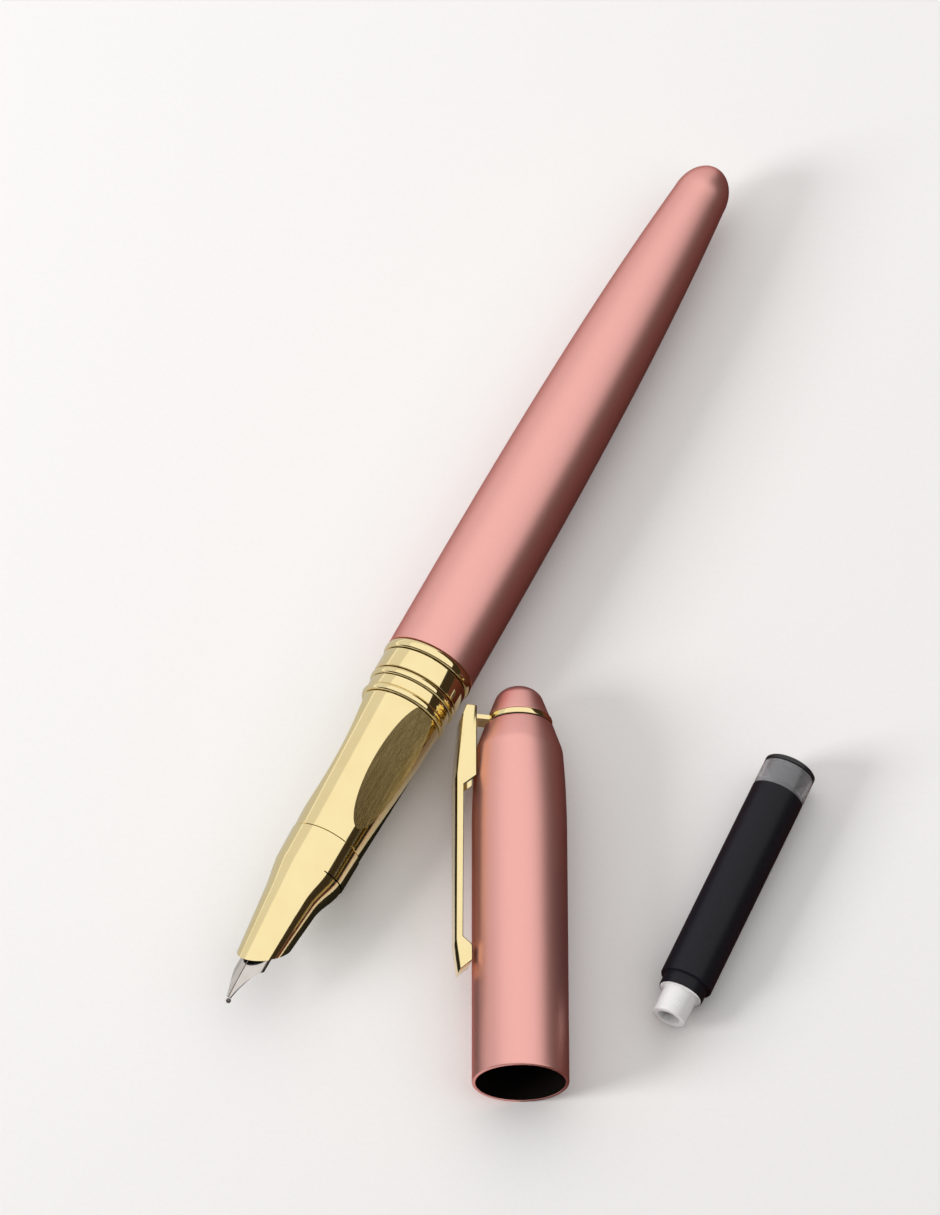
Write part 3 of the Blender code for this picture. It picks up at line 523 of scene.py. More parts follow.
def slab(outline, half_width):
    """A side outline of (x, z) points in millimetres, pulled out to both sides."""
    bm = bmesh.new()
    face = bm.faces.new([bm.verts.new((x * MM, -half_width * MM, z * MM)) for x, z in outline])
    grown = bmesh.ops.extrude_face_region(bm, geom=[face])["geom"]
    moved = [item for item in grown if isinstance(item, bmesh.types.BMVert)]
    bmesh.ops.translate(bm, vec=(0.0, 2.0 * half_width * MM, 0.0), verts=moved)
    bmesh.ops.recalc_face_normals(bm, faces=bm.faces)
    return bm


print("carving ready")

# %% [markdown]
# ## Finger grip
# The grip is a slim gold cone. Two shallow scoops, ground with a large wheel at 62 degrees to each
# side of the top, tell thumb and finger where to hold. Their arc has a radius of 60 mm, so each is
# a long oval with pointed ends. They carry the brushed finish, and the cone stays a mirror.

# %% Finger grip
GRIP_TOP, GRIP_BOTTOM, GRIP_REAR, GRIP_FRONT, SECTION_BORE = -6.65, -27.05, 5.45, 4.65, 3.7
GRIP_RINGS, GRIP_SEGMENTS, GRIP_EDGE = 60, 192, 0.2
GRIP_ROUNDING = ((0.12, 0.0), (0.03, 0.05))
SCOOP_RADIUS, SCOOP_DEPTH, SCOOP_MIDDLE, SCOOP_HALF, SCOOP_ANGLE = 60.0, 0.72, -17.45, 14.0, 62.0
SCOOP_STEPS, SCOOP_OUT, SCOOP_HALF_WIDTH = 90, 12.0, 6.0


def grip_radius(height):
    """The cone's radius at a height."""
    return GRIP_FRONT + (GRIP_REAR - GRIP_FRONT) * (height - GRIP_BOTTOM) / (GRIP_TOP - GRIP_BOTTOM)


low, length = GRIP_BOTTOM + GRIP_EDGE, GRIP_TOP - GRIP_BOTTOM - 2.0 * GRIP_EDGE
heights = [low + length * step / GRIP_RINGS for step in range(GRIP_RINGS + 1)]
profile = [
    (SECTION_BORE, GRIP_TOP),
    (SECTION_BORE, GRIP_BOTTOM),
    *[(GRIP_FRONT - inward, GRIP_BOTTOM + along) for inward, along in GRIP_ROUNDING],
    *[(grip_radius(h), h) for h in heights],
    *[(GRIP_REAR - inward, GRIP_TOP - along) for inward, along in reversed(GRIP_ROUNDING)],
]
bm = lathe(profile, GRIP_SEGMENTS)
wheel_axis = (grip_radius(SCOOP_MIDDLE) - SCOOP_DEPTH + SCOOP_RADIUS, SCOOP_MIDDLE)
span = math.degrees(math.asin(SCOOP_HALF / SCOOP_RADIUS))
outline = [
    *arc(wheel_axis, SCOOP_RADIUS, SCOOP_RADIUS, 180.0 - span, 180.0 + span, SCOOP_STEPS),
    (SCOOP_OUT, SCOOP_MIDDLE - SCOOP_HALF),
    (SCOOP_OUT, SCOOP_MIDDLE + SCOOP_HALF),
]
for turn in (-SCOOP_ANGLE, SCOOP_ANGLE):
    cutter = slab(outline, SCOOP_HALF_WIDTH)
    for face in cutter.faces:
        face.material_index = 1
    spin = Matrix.Rotation(math.radians(turn), 4, "Z")
    bmesh.ops.transform(cutter, matrix=spin, verts=cutter.verts)
    bm = carved(bm, cutter)
hand_over(
    "finger_grip",
    bm,
    pen_place,
    "section",
    "gold_plate",
    ["grip_section"],
    polished_gold,
    brushed_gold,
    sharp=GROUND_EDGE,
)

# %% [markdown]
# ## Shape of the hood
# The hood is the pen's most particular part. It starts with a short collar as wide as the grip.
# Past that, its top runs straight to the mouth, while its underside drops in an S-curve. So it can
# be turned as one shell whose rings are then shifted upwards, and an oblique plane opens the mouth.

# %% Hood as one shell
HOOD_RADIUS, HOOD_TOP, HOOD_STEP, HOOD_MOUTH, COLLAR_TAPER = 4.75, -27.15, -31.85, -46.55, 0.1
HOOD_DROP, DROP_LENGTH, HOOD_WALL, HOOD_RISE = 1.1, 4.6, 0.5, 0.28
HOOD_EDGE, HOOD_EDGE_RISE, HOOD_EDGE_LONG, HOOD_SPARE = 0.06, 0.04, 0.3, 0.6
HOOD_SEGMENTS, COLLAR_STEPS, SLOPE_STEPS, INSIDE_FIRST = 160, 10, 60, 9
MOUTH_RADIUS, MOUTH_TILT = 2.67, math.radians(48.0)
MOUTH_ACROSS = Vector((math.sin(MOUTH_TILT), 0.0, math.cos(MOUTH_TILT)))


def hood_shape(height):
    """The hood's radius at a height, and how far its centre is raised there."""
    past_step = HOOD_STEP - height
    collar = HOOD_RADIUS - COLLAR_TAPER * min(1.0, (HOOD_TOP - height) / (HOOD_TOP - HOOD_STEP))
    share = max(0.0, past_step / (HOOD_STEP - HOOD_MOUTH))
    top = collar + (MOUTH_RADIUS + HOOD_RISE - collar) * share
    low = collar - HOOD_DROP + (MOUTH_RADIUS - HOOD_RISE - collar + HOOD_DROP) * share
    dropped = min(1.0, max(0.0, past_step / DROP_LENGTH))
    under = top + (low - top) * (1.0 - math.cos(math.pi * dropped)) / 2.0
    return (top + under) / 2.0, (top - under) / 2.0


def hood_blank(inset):
    """The whole hood as one shell with an oblique mouth, its outside set in by a little."""
    high, length = HOOD_TOP - HOOD_EDGE_LONG, HOOD_TOP - HOOD_STEP - HOOD_EDGE_LONG
    collar = [high - length * step / COLLAR_STEPS for step in range(COLLAR_STEPS)]
    fall = HOOD_MOUTH - HOOD_SPARE - HOOD_STEP
    slope = [HOOD_STEP + fall * step / SLOPE_STEPS for step in range(SLOPE_STEPS + 1)]
    profile = [
        (SECTION_BORE, HOOD_TOP),
        (HOOD_RADIUS - inset - HOOD_EDGE, HOOD_TOP),
        *[(hood_shape(h)[0] - inset, h) for h in (HOOD_TOP - HOOD_EDGE_RISE, *collar, *slope)],
        *[(hood_shape(h)[0] - HOOD_WALL, h) for h in reversed(slope[INSIDE_FIRST:])],
        (SECTION_BORE, HOOD_STEP),
    ]
    bm = lathe(profile, HOOD_SEGMENTS)
    for vert in bm.verts:
        vert.co.x += hood_shape(vert.co.z / MM)[1] * MM
    lip = Vector((HOOD_RISE + MOUTH_RADIUS, 0.0, HOOD_MOUTH)) * MM
    everything = bm.verts[:] + bm.edges[:] + bm.faces[:]
    opened = bmesh.ops.bisect_plane(
        bm, geom=everything, dist=WELD, plane_co=lip, plane_no=MOUTH_ACROSS, clear_inner=True
    )
    rim = [item for item in opened["geom_cut"] if isinstance(item, bmesh.types.BMEdge)]
    bmesh.ops.bridge_loops(bm, edges=rim)
    bmesh.ops.recalc_face_normals(bm, faces=bm.faces)
    return bm


print("hood radius at its mouth:", round(hood_shape(HOOD_MOUTH)[0], 3), "mm")

# %% [markdown]
# ## Hood and its tray
# A separate tray closes the underside: it starts at a slanted step behind the collar, sits slightly
# inside the hood, and meets it along a parting line. Hood and tray are cut from the same shell. The
# hood is what stays when the tray's space is taken away, and the tray is what lies inside that
# space, drawn in by a small gap.

# %% Hood and its tray
PARTING_REAR, PARTING_FRONT, PARTING_SLANT = 2.9, 1.7, 0.8
TRAY_INSET, TRAY_GAP, TRAY_SPACE = 0.15, 0.1, 9.0
WALL_MARGIN, FACES_MOUTH = 0.05, -0.99


def tray_space(gap):
    """The space below the parting line and before the step, drawn in by a gap."""
    front = HOOD_MOUTH - TRAY_SPACE
    fall = (PARTING_REAR - PARTING_FRONT) / (HOOD_STEP - HOOD_MOUTH)
    outline = [
        (PARTING_REAR - gap, HOOD_STEP - gap),
        (PARTING_REAR - gap - fall * (HOOD_STEP - front), front),
        (-TRAY_SPACE, front),
        (-TRAY_SPACE, HOOD_STEP + PARTING_SLANT - gap),
    ]
    return slab(outline, TRAY_SPACE)


def paint_inside_shade(bm):
    """Gives the hood's inner faces and the cut edge of its mouth the second finish, a painted shade.
    """
    for face in bm.faces:
        centre = face.calc_center_median()
        radius, rise = hood_shape(centre.z / MM)
        spoke = Vector((centre.x - rise * MM, centre.y, 0.0))
        inside = spoke.length < (radius - HOOD_WALL + WALL_MARGIN) * MM
        mouth = face.normal.dot(MOUTH_ACROSS) < FACES_MOUTH
        # Inner faces and the mouth's cut edge are painted dark, for the shade inside and under the
        # lip.
        face.material_index = int(mouth or inside and spoke.dot(face.normal) < 0.0)


shell = carved(hood_blank(0.0), tray_space(0.0))
tray = carved(hood_blank(TRAY_INSET), tray_space(TRAY_GAP), "INTERSECT")
for name, bm, node in (("hood_shell", shell, "hood"), ("hood_tray", tray, "hood_underside")):
    paint_inside_shade(bm)
    hand_over(name, bm, pen_place, "section", "gold_plate", [node], polished_gold, painted_shade_bore)

# %% [markdown]
# ## Nib
# The nib is a strip of steel bent round the feed and ground to a point, with a slit that leads ink
# to a small welded ball. A flat grid is bent to that shape, two planes cut the slit out of it, and
# solidify gives it the sheet's thickness. Only its last five millimetres show.

# %% Nib
NIB_RADIUS, NIB_SHEET, NIB_REACH, NIB_SEAT, NIB_DROP = 1.9, 0.3, 5.0, 3.6, 0.25
NIB_FULL = NIB_RADIUS * math.sin(math.radians(68.0))
NIB_TIP_HALF, NIB_POWER, SLIT_HALF, SLIT_START = 0.25, 1.2, 0.06, HOOD_MOUTH + 1.5
GRID_HALF = 0.5
bm = bmesh.new()
bmesh.ops.create_grid(bm, x_segments=24, y_segments=60, size=GRID_HALF)
for vert in bm.verts:
    height = HOOD_MOUTH + NIB_SEAT - (NIB_SEAT + NIB_REACH) * (vert.co.y + GRID_HALF)
    share = max(0.0, (HOOD_MOUTH - height) / NIB_REACH)
    half = NIB_TIP_HALF + (NIB_FULL - NIB_TIP_HALF) * (1.0 - min(1.0, share)) ** NIB_POWER
    angle = 2.0 * vert.co.x * math.asin(half / NIB_RADIUS)
    top = NIB_RADIUS * math.cos(angle) - NIB_DROP * share**2
    vert.co = Vector((top, NIB_RADIUS * math.sin(angle), height)) * MM
for side in (-SLIT_HALF, SLIT_HALF):
    everything = bm.verts[:] + bm.edges[:] + bm.faces[:]
    bmesh.ops.bisect_plane(
        bm, geom=everything, dist=WELD, plane_co=(0.0, side * MM, 0.0), plane_no=(0.0, 1.0, 0.0)
    )
slit = []
for face in bm.faces:
    centre = face.calc_center_median()
    if abs(centre.y) < SLIT_HALF * MM and centre.z < SLIT_START * MM:
        slit.append(face)
bmesh.ops.delete(bm, geom=slit, context="FACES")
bmesh.ops.remove_doubles(bm, verts=bm.verts, dist=WELD)
bmesh.ops.recalc_face_normals(bm, faces=bm.faces)
if sum((face.normal.x for face in bm.faces), 0.0) > 0.0:
    bmesh.ops.reverse_faces(bm, faces=bm.faces)
bmesh.ops.solidify(bm, geom=bm.faces[:], thickness=NIB_SHEET * MM)
bmesh.ops.recalc_face_normals(bm, faces=bm.faces)
print("nib sheet reaches", round(max(v.co.xy.length for v in bm.verts) / MM, 3), "mm from the axis")
hand_over("nib_blade", bm, pen_place, "section", "nib_steel", ["nib"], steel)

# %% [markdown]
# ## Point of the nib
# A small ball of hard alloy is welded to the nib's tip, because steel alone would wear on paper. A
# sphere is enough for it, set just past the end of the sheet.

# %% Point of the nib
POINT_RADIUS, POINT_GAP = 0.32, 0.02
nib_tip = HOOD_MOUTH - NIB_REACH
bm = bmesh.new()
bmesh.ops.create_uvsphere(bm, u_segments=24, v_segments=16, radius=POINT_RADIUS * MM)
point_x = NIB_RADIUS - NIB_DROP - NIB_SHEET / 2.0
point = Vector((point_x, 0.0, nib_tip - POINT_GAP - POINT_RADIUS)) * MM
bmesh.ops.translate(bm, vec=point, verts=bm.verts)
hand_over("nib_point", bm, pen_place, "section", "tipping_alloy", ["nib_tipping"], tipping)

# %% [markdown]
# ## Connector
# Behind the collar the connector sticks out of the section. The barrel screws onto its thread, and
# the cartridge sits in its socket, so it shows once the barrel is off. A spin that also climbs makes
# the thread: a small profile, nearly a triangle, goes round the core and rises by one pitch in each
# turn.

# %% Connector with its thread
SOCKET, THREAD_CORE, THREAD_CREST, THREAD_START, THREAD_END = 3.7, 4.52, 4.69, 0.8, 8.5
WEB_TOP, WEB_BOTTOM, TUBE_HOLE, COLLECTOR = -2.1, -3.6, 1.25, 3.6
CONNECTOR_BORE, CONNECTOR_END, CONNECTOR_EDGE, SLIM_SEGMENTS = 2.5, -24.05, 0.15, 96
TURNS, TURN_STEPS, PITCH, RIDGE, RIDGE_ROOT, CREST_HALF = 7, 72, 0.9, 0.32, 0.05, 0.06
core = [
    (SOCKET, THREAD_END),
    (SOCKET, WEB_TOP),
    (TUBE_HOLE, WEB_TOP),
    (TUBE_HOLE, WEB_BOTTOM),
    (CONNECTOR_BORE, WEB_BOTTOM),
    (CONNECTOR_BORE, CONNECTOR_END),
    (COLLECTOR, CONNECTOR_END),
    (COLLECTOR, STOP_BOTTOM),
    (THREAD_CORE, STOP_BOTTOM),
    (THREAD_CORE, THREAD_END),
]
bm = lathe(soft_corners(core, CONNECTOR_EDGE), SLIM_SEGMENTS)
ridge = [
    (THREAD_CORE - RIDGE_ROOT, 0.0),
    (THREAD_CREST, RIDGE - CREST_HALF),
    (THREAD_CREST, RIDGE + CREST_HALF),
    (THREAD_CORE - RIDGE_ROOT, 2.0 * RIDGE),
]
verts = [bm.verts.new((radius * MM, 0.0, (THREAD_START + rise) * MM)) for radius, rise in ridge]
start = bm.faces.new(verts)
bmesh.ops.spin(
    bm,
    geom=[start, *start.edges, *verts],
    cent=(0.0, 0.0, 0.0),
    axis=(0.0, 0.0, 1.0),
    dvec=(0.0, 0.0, PITCH * MM / TURN_STEPS),
    angle=math.tau * TURNS,
    steps=TURNS * TURN_STEPS,
)
bmesh.ops.recalc_face_normals(bm, faces=bm.faces)
hand_over(
    "section_connector", bm, pen_place, "section", "black_plastic", ["connector"], black_plastic
)

# %% [markdown]
# ## Cap tube
# The cap is a plain tube with a thin lip, drawn in a little over its upper third. There a cone
# starts that runs on to a rounded tip. A thin gold washer, which carries the clip, parts the cone:
# the tube's shoulder is below it and the finial above, all held by one screw from inside. The bore
# is painted black as shade, so the mouth reads as a dark ellipse.

# %% Cap tube
CAP_RADIUS, CAP_BORE, CAP_TAPER_START, CAP_SHOULDER_START = 6.0, 5.55, 33.66, 45.16
CAP_TAPER, CAP_TOP_RADIUS, CAP_SHOULDER_RADIUS = 0.45, 5.55, 4.35
CAP_TOP, CAP_INNER_TOP, SCREW_HOLE = 48.76, 47.96, 1.2
CAP_WALL = CAP_RADIUS - CAP_BORE
CAP_STEPS, CAP_ROUNDING, CAP_LEAST_TURN, LIP_BRIGHT = 12, 0.35, 10.0, 0.1
LIP_INSIDE = ((0.0, 0.08), (0.06, 0.0))
LIP_OUTSIDE = ((0.14, 0.0), (0.04, 0.05), (0.0, 0.18))
taper = []
for step in range(CAP_STEPS):
    share = step / CAP_STEPS
    height = CAP_TAPER_START + (CAP_SHOULDER_START - CAP_TAPER_START) * share
    taper.append((CAP_RADIUS - CAP_TAPER * share**2, height))
profile = [
    *[(CAP_BORE + across, along) for across, along in LIP_INSIDE],
    *[(CAP_RADIUS - across, along) for across, along in LIP_OUTSIDE],
    *taper,
    (CAP_TOP_RADIUS, CAP_SHOULDER_START),
    (CAP_SHOULDER_RADIUS, CAP_TOP),
    (SCREW_HOLE, CAP_TOP),
    (SCREW_HOLE, CAP_INNER_TOP),
    (CAP_SHOULDER_RADIUS - CAP_WALL, CAP_INNER_TOP),
    (CAP_TOP_RADIUS - CAP_WALL, CAP_SHOULDER_START),
    (CAP_BORE, CAP_TAPER_START),
]
bm = lathe(soft_corners(profile, CAP_ROUNDING, CAP_LEAST_TURN))
# Inward faces above the lip get the painted shade.
paint_bore_shade(bm, LIP_BRIGHT)
cap_shell = hand_over(
    "cap_shell", bm, cap_place, "cap", "rose_lacquer", ["cap_tube"], rose_lacquer, painted_shade_bore
)

# %% [markdown]
# ## Clip washer
# The washer is stamped from sheet with a tab that sticks out on one side and holds the clip. A
# turned ring and a slab are joined by the same Boolean that does the carving.

# %% Clip washer
WASHER_BOTTOM, WASHER_TOP, WASHER_RADIUS, WASHER_EDGE = 48.86, 49.66, 4.25, 0.15
TAB_END, TAB_HALF, TAB_INSET = 6.35, 1.2, 0.1
washer = [
    (SCREW_HOLE, WASHER_TOP),
    (SCREW_HOLE, WASHER_BOTTOM),
    (WASHER_RADIUS, WASHER_BOTTOM),
    (WASHER_RADIUS, WASHER_TOP),
]
root, bottom, top = WASHER_RADIUS / 2.0, WASHER_BOTTOM + TAB_INSET, WASHER_TOP - TAB_INSET
tab = slab([(root, bottom), (TAB_END, bottom), (TAB_END, top), (root, top)], TAB_HALF)
bm = carved(lathe(soft_corners(washer, WASHER_EDGE)), tab, "UNION")
hand_over("clip_washer", bm, cap_place, "cap", "gold_plate", ["clip_ring"], polished_gold)

# %% [markdown]
# ## Finial
# The finial carries the cone on and closes it with a round crown. Its foot has a blind hole for the
# screw, so the profile starts on the axis at the hole's end and comes back to it at the crown.

# %% Finial
FINIAL_START, FINIAL_RADIUS, FINIAL_END, FINIAL_EDGE = 49.76, 4.05, 54.26, 0.12
SCREW_END, CROWN_RADIUS, CROWN, CROWN_START, CROWN_STEPS = 52.46, 3.2, 2.5, 16.0, 28
crown_foot = (0.0, FINIAL_END - CROWN)
profile = [
    (0.0, SCREW_END),
    (SCREW_HOLE, SCREW_END),
    (SCREW_HOLE, FINIAL_START),
    (FINIAL_RADIUS, FINIAL_START),
    *arc(crown_foot, CROWN_RADIUS, CROWN, CROWN_START, 90.0, CROWN_STEPS)[:-1],
    (0.0, FINIAL_END),
]
bm = lathe(soft_corners(profile, FINIAL_EDGE))
cap_cone = hand_over("cap_cone", bm, cap_place, "cap", "rose_lacquer", ["cap_finial"], rose_lacquer)

# %% [markdown]
# ## Clip
# The clip is sheet brass folded into a slim channel: a deep block at the top that hooks over the
# washer's tab, a thin arm, and a foot that presses on the tube. Its side outline is drawn once and
# pulled out to both sides, narrower towards the foot. Bevelled edges give the thin bright lines
# that a folded sheet has, and a second outline hollows it from behind.

# %% Clip
CLIP_TOP, CLIP_BOTTOM, CLIP_WIDE, CLIP_SLIM, CLIP_SHEET = 50.46, 13.96, 4.0, 2.9, 0.5
CLIP_FOOT, CLIP_PAD, CLIP_ARM, CLIP_REACH, CLIP_CROWN = 5.85, 6.3, 7.5, 8.35, 7.15
BLOCK_BOTTOM, TIP_TOP, ROUGH_HALF, CLIP_EDGE = 40.66, 17.96, 1.0, 0.14
FOLD_OUT, FOLD_DOWN, CHAMFER, TIP_SLANT, ARM_STEP = 0.45, 1.2, 1.4, 0.5, 0.5


def clip_half_width(height):
    """Half the clip's width at a height."""
    share = (CLIP_TOP - height) / (CLIP_TOP - CLIP_BOTTOM)
    return (CLIP_WIDE + (CLIP_SLIM - CLIP_WIDE) * share) / 2.0


def channel(outline, thinner):
    """A side outline pulled out to the clip's width at each height, less a thickness per side."""
    bm = slab(outline, ROUGH_HALF)
    for vert in bm.verts:
        half = (clip_half_width(vert.co.z / MM) - thinner) * MM
        vert.co.y = math.copysign(half, vert.co.y)
    return bm


outside = [
    (CLIP_FOOT, CLIP_TOP),
    (CLIP_CROWN, CLIP_TOP),
    (CLIP_CROWN + FOLD_OUT, CLIP_TOP - FOLD_DOWN),
    (CLIP_REACH, BLOCK_BOTTOM),
    (CLIP_REACH, TIP_TOP),
    (CLIP_REACH - TIP_SLANT, CLIP_BOTTOM),
    (CLIP_PAD, CLIP_BOTTOM + CHAMFER),
    (CLIP_PAD, TIP_TOP - ARM_STEP),
    (CLIP_ARM, TIP_TOP + ARM_STEP),
    (CLIP_ARM, BLOCK_BOTTOM - CHAMFER),
    (CLIP_FOOT, BLOCK_BOTTOM),
]
hollow = [
    (CAP_SHOULDER_RADIUS, CLIP_TOP - CLIP_SHEET),
    (CLIP_CROWN - CLIP_SHEET, CLIP_TOP - CLIP_SHEET),
    (CLIP_CROWN + FOLD_OUT - CLIP_SHEET, CLIP_TOP - FOLD_DOWN),
    (CLIP_REACH - CLIP_SHEET, BLOCK_BOTTOM),
    (CLIP_REACH - CLIP_SHEET, TIP_TOP + ARM_STEP),
    (CAP_SHOULDER_RADIUS, TIP_TOP + ARM_STEP),
]
bm = channel(outside, 0.0)
bmesh.ops.bevel(
    bm,
    geom=bm.edges[:],
    offset=CLIP_EDGE * MM,
    affect="EDGES",
    segments=3,
    profile=0.5,
    material=-1,
    clamp_overlap=True,
)
bm = carved(bm, channel(hollow, CLIP_SHEET))
hand_over("side_clip", bm, cap_place, "clip", "gold_plate", ["clip"], polished_gold)

# %% [markdown]
# ## Cartridges
# A cartridge is a moulded tube of clear plastic with a narrow neck. The ink inside stains it black,
# and only the air space at the far end stays clear. The neck is milky, and a black disc closes the
# end. The one in the pen has been pierced, so its sealing ball has gone in; the spare one is still
# sealed. Both come from the same function.

# %% Cartridges
NECK_BORE, NECK_RADIUS, NECK_LENGTH, SHOULDER_RADIUS = 1.45, 2.2, 3.6, 2.9
BODY_START, BODY_RADIUS, BODY_END, CAVITY_RADIUS, CAVITY_START = 5.2, 3.4, 37.3, 2.8, 5.8
INK_RADIUS, INK_START, INK_TOP, INK_SEGMENTS = 2.7, 6.2, 33.4, 64
PLUG_START, PLUG_GAP, CARTRIDGE_END, MOULD_EDGE = 36.6, 0.1, 38.0, 0.15
GROOVE_RADIUS, GROOVE_MIDDLE, GROOVE_DEPTH, GROOVE_HALF = BODY_RADIUS + 0.02, 34.1, 0.12, 0.2
GROOVE_STEPS = 8
MENISCUS = ((0.0, 0.25), (0.12, 0.08), (0.4, 0.0))


def make_cartridge(prefix, place, body, nodes):
    """One cartridge: its wall, its ink and the disc that closes it."""
    groove = (GROOVE_RADIUS, GROOVE_MIDDLE)
    wall = [
        (NECK_BORE, 0.0),
        (NECK_RADIUS, 0.0),
        (NECK_RADIUS, NECK_LENGTH),
        (SHOULDER_RADIUS, NECK_LENGTH),
        (SHOULDER_RADIUS, BODY_START),
        (BODY_RADIUS, BODY_START),
        *arc(groove, -GROOVE_DEPTH, GROOVE_HALF, -90.0, 90.0, GROOVE_STEPS),
        (BODY_RADIUS, BODY_END),
        (CAVITY_RADIUS, BODY_END),
        (CAVITY_RADIUS, INK_TOP),
        (CAVITY_RADIUS, CAVITY_START),
        (NECK_BORE, CAVITY_START),
    ]
    ink = [
        (0.0, INK_START),
        (INK_RADIUS, INK_START),
        *[(INK_RADIUS - inward, INK_TOP - below) for inward, below in MENISCUS],
        (0.0, INK_TOP),
    ]
    plug = [
        (0.0, PLUG_START),
        (INK_RADIUS, PLUG_START),
        (INK_RADIUS, BODY_END + PLUG_GAP),
        (BODY_RADIUS, BODY_END + PLUG_GAP),
        (BODY_RADIUS, CARTRIDGE_END - MOULD_EDGE),
        (BODY_RADIUS - MOULD_EDGE, CARTRIDGE_END),
        (0.0, CARTRIDGE_END),
    ]
    bm = lathe(soft_corners(wall, MOULD_EDGE), SLIM_SEGMENTS)
    for face in bm.faces:
        height = face.calc_center_median().z / MM
        face.material_index = int(height < INK_TOP) + int(height < NECK_LENGTH)
    looks = (smoky_clear, stained, milky)
    hand_over(f"{prefix}_wall", bm, place, body, "cartridge_plastic", [nodes + "_body"], *looks)
    bm = lathe(ink, INK_SEGMENTS)
    hand_over(f"{prefix}_fill", bm, place, body, "ink", [nodes + "_ink"], black_ink)
    bm = lathe(plug, SLIM_SEGMENTS)
    hand_over(f"{prefix}_plug", bm, place, body, "cartridge_plastic", [nodes + "_end_cap"], black_cap)


make_cartridge("fitted_cartridge", fitted_place, "cartridge", "cartridge")
make_cartridge("loose_cartridge", spare_place, "spare_cartridge", "spare_cartridge")

# %% [markdown]
# ## Pieces that stay as the frame has them
# The inner pieces are already the right shape in the CAD model. They only need their finishes.

# %% Finishes for the inner pieces
KEPT = {
    "feed": black_plastic,
    "ink_collector": black_plastic,
    "inner_cap": black_plastic,
    "piercing_tube": steel,
    "finial_screw": steel,
    "barrel_thread_bush": brass,
    "cartridge_seal_ball": glass,
    "spare_cartridge_seal_ball": glass,
}
for node, finish in KEPT.items():
    mesh = frame["nodes"][node].data
    mesh.materials.clear()
    mesh.materials.append(finish)
print("kept from the frame:", ", ".join(KEPT))

# %% [markdown]
# ## Table and papers
# The pen lies on a plain white table. Matt laminate has a very fine tooth, about 0.5 mm, which
# keeps the surface from looking like empty space without drawing the eye.
# Polished metal mirrors the table beside it, so a photographer lays papers there and takes them out
# of the picture later. A grey one on the left keeps the gold's left flank even. On the right, a
# black one gives the section its dark edge, and a large brown one does the same for the barrel and
# the cap. They leave out the floor beside the clip, which has to stay bright. Only mirrors see the
# papers: the camera doesn't, and they cast no shadow. The cap's tube and cone are kept out of the
# mirrors in turn, since they would redden the gold beside them.

# %% Table and papers
PAPER_GLOSS, PAPER_TOOTH = (0.9, 1.0), (0.3, 0.3, 0.3)
laminate = grained(
    "laminate_white_matt",
    ("#F3F2F1", "#F8F7F6"),
    (0.6, 0.7),
    (0.5, 0.5, 0.5),
    Specular_IOR_Level=0.0,
)
brown_paper = grained("paper_brown_matt", ("#581E10", "#622617"), PAPER_GLOSS, PAPER_TOOTH)
black_paper = grained("paper_black_matt", ("#1C1A14", "#242218"), PAPER_GLOSS, PAPER_TOOTH)
grey_paper = grained("paper_grey_matt", ("#C8C8C8", "#D0D0D0"), PAPER_GLOSS, PAPER_TOOTH)
TABLE_HALF, TABLE_CORNERS = 4.0, ((-1, -1), (1, -1), (1, 1), (-1, 1))
PAPER_REACH, BROWN_REACH, CLIP_MARGIN = 0.1, 0.8, 4.0 * MM
PAPER_FRONT, PAPER_BACK = 0.07, 0.12
TABLE_LEVEL, PAPER_LEVEL = -0.02 * MM, 0.01 * MM
pen_joint = pen_place.translation
nib_end = (pen_joint - pen_along * PAPER_FRONT).xy
tail_end = (pen_joint + pen_along * PAPER_BACK).xy
far_end = tail_end + pen_along.xy * BROWN_REACH
left = pen_side.xy * PAPER_REACH
clip_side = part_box("clip")[0].x - CLIP_MARGIN
cap_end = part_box("cap_finial")[1].y
beside_clip = (clip_side, cap_end)
STAGE = {
    "table": (laminate, [(x * TABLE_HALF, y * TABLE_HALF) for x, y in TABLE_CORNERS]),
    "grey_paper": (grey_paper, [nib_end, tail_end, tail_end + left, nib_end + left]),
    "black_paper": (black_paper, [nib_end, (clip_side, nib_end.y), beside_clip]),
    "brown_paper": (
        brown_paper,
        [
            nib_end,
            beside_clip,
            (cap_lip.x, cap_end),
            (cap_lip.x, cap_lip.y - PAPER_REACH),
            (BROWN_REACH, cap_lip.y - PAPER_REACH),
            (BROWN_REACH, far_end.y),
            far_end,
        ],
    ),
}
for name, (finish, outline) in STAGE.items():
    level = TABLE_LEVEL if name == "table" else PAPER_LEVEL
    bm = bmesh.new()
    bm.faces.new([bm.verts.new((x, y, level)) for x, y in outline])
    bmesh.ops.recalc_face_normals(bm, faces=bm.faces)
    made = as_object(name, bm)
    made.data.materials.append(finish)
    if name != "table":
        made.visible_camera = False
        made.visible_diffuse = False
        made.visible_transmission = False
        made.visible_shadow = False
for piece in (cap_shell, cap_cone):
    piece.visible_glossy = False
print("stage:", ", ".join(STAGE))

# %% [markdown]
# ## Studio light
# The lights are placed by what the gold should mirror. A large soft box over the pen gives the pale
# stripe along its middle. A dimmer panel hangs from the box's left edge down to the table, so the
# left flank is a shade darker with a crisp line between the two. A second panel hangs from half of
# the far edge, for the cone at the cap's top. A third, much dimmer, stands in front of the pen, so
# that the gold isn't black from behind. Nothing stands on the right, where the dim, warm room shows.
# A key light from the left whitens the table and casts the shadows. It is kept out of the mirrors,
# because a small lamp would draw hard white streaks in the gold.

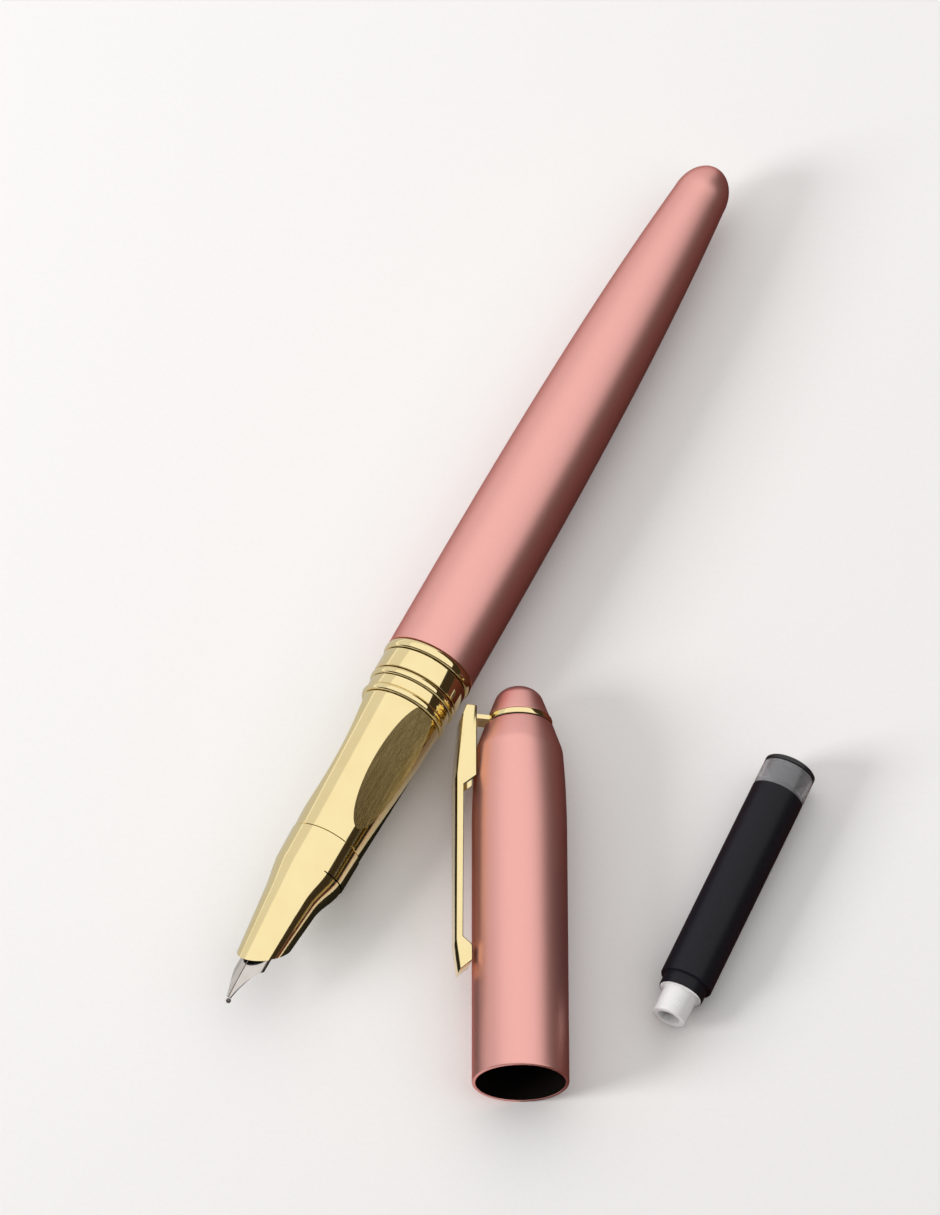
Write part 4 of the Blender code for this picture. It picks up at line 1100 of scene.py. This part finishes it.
# %% Lights
BOX_HEIGHT, BOX_LEFT, BOX_RIGHT, BOX_NEAR, BOX_FAR = 0.36, -0.5, 0.62, -0.2, 0.425
PANEL_RIGHT, PANEL_NEAR = 0.05, -0.5
BOX_RADIANCE, LEFT_RADIANCE, FAR_RADIANCE, NEAR_RADIANCE = 1.0, 0.76, 0.72, 0.3
KEY_WAY, KEY_DISTANCE, KEY_SIZE, KEY_RADIANCE = Vector((-0.84, -0.3, 0.45)), 0.9, 0.3, 18.0
pen_right = -pen_side


def soft_box(name, place, facing, across, width, length, radiance):
    """An area lamp at a place, facing a direction, with its width along another."""
    lamp = bpy.data.lights.new(name, "AREA")
    lamp.shape = "RECTANGLE"
    lamp.size = width
    lamp.size_y = length
    lamp.energy = radiance * math.pi * width * length
    made = bpy.data.objects.new(name, lamp)
    made.matrix_world = lying(place, -facing, across)
    made.visible_camera = False
    bpy.context.scene.collection.objects.link(made)
    print(name, "at", [round(v, 3) for v in made.location])
    return made


def over_table(right, ahead, height=BOX_HEIGHT / 2.0):
    """A place so far to the pen's right, ahead along the pen and above the table."""
    return pen_right * right + pen_along * ahead + UP * height


box_middle, box_ahead = (BOX_LEFT + BOX_RIGHT) / 2.0, (BOX_NEAR + BOX_FAR) / 2.0
box_wide, box_deep = BOX_RIGHT - BOX_LEFT, BOX_FAR - BOX_NEAR
over_pen = over_table(box_middle, box_ahead, BOX_HEIGHT)
soft_box("overhead_soft_box", over_pen, -UP, pen_right, box_wide, box_deep, BOX_RADIANCE)
left_edge = over_table(BOX_LEFT, box_ahead)
soft_box("left_panel", left_edge, pen_right, UP, BOX_HEIGHT, box_deep, LEFT_RADIANCE)
far_edge = over_table((BOX_LEFT + PANEL_RIGHT) / 2.0, BOX_FAR)
far_wide = PANEL_RIGHT - BOX_LEFT
soft_box("far_panel", far_edge, -pen_along, UP, BOX_HEIGHT, far_wide, FAR_RADIANCE)
in_front = over_table(box_middle, PANEL_NEAR)
soft_box("near_panel", in_front, pen_along, UP, BOX_HEIGHT, box_wide, NEAR_RADIANCE)
key_place = KEY_WAY * KEY_DISTANCE
key = soft_box("key", key_place, -KEY_WAY, pen_along, KEY_SIZE, KEY_SIZE, KEY_RADIANCE)
key.visible_glossy = False

# %% [markdown]
# ## Room
# The room around the table is dim and warm, so what mirrors none of the lights is brown, not black.

# %% World
world = bpy.data.worlds.new("studio")
bpy.context.scene.world = world
world.use_nodes = True
room = world.node_tree.nodes["Background"]
room.inputs["Color"].default_value = linear("#D8BC9C")
room.inputs["Strength"].default_value = 0.06
print("room strength:", round(room.inputs["Strength"].default_value, 3))

# %% [markdown]
# ## Camera
# The photograph looks steeply down at the table through a long lens. The camera stands 0.7 m away,
# at 62 degrees above the table, and is aimed so that the nib's point, the joint and the barrel's end
# fall where they do in the photograph.

# %% Camera
ELEVATION = math.radians(62.0)
DISTANCE = 0.7
LENS = 161.66
AIM = Vector((-6.83, -0.226, 6.0)) * MM
lens = bpy.data.cameras.new("camera")
lens.sensor_width = 36.0
lens.lens = LENS
lens.clip_start = 0.05
camera = bpy.data.objects.new("camera", lens)
back = Vector((0.0, -math.cos(ELEVATION), math.sin(ELEVATION)))
camera.location = AIM + back * DISTANCE
camera.rotation_euler = (-back).to_track_quat("-Z", "Y").to_euler()
bpy.context.scene.collection.objects.link(camera)
bpy.context.scene.camera = camera
bpy.context.scene.view_settings.view_transform = "Standard"
print("camera at", [round(v, 3) for v in camera.location])
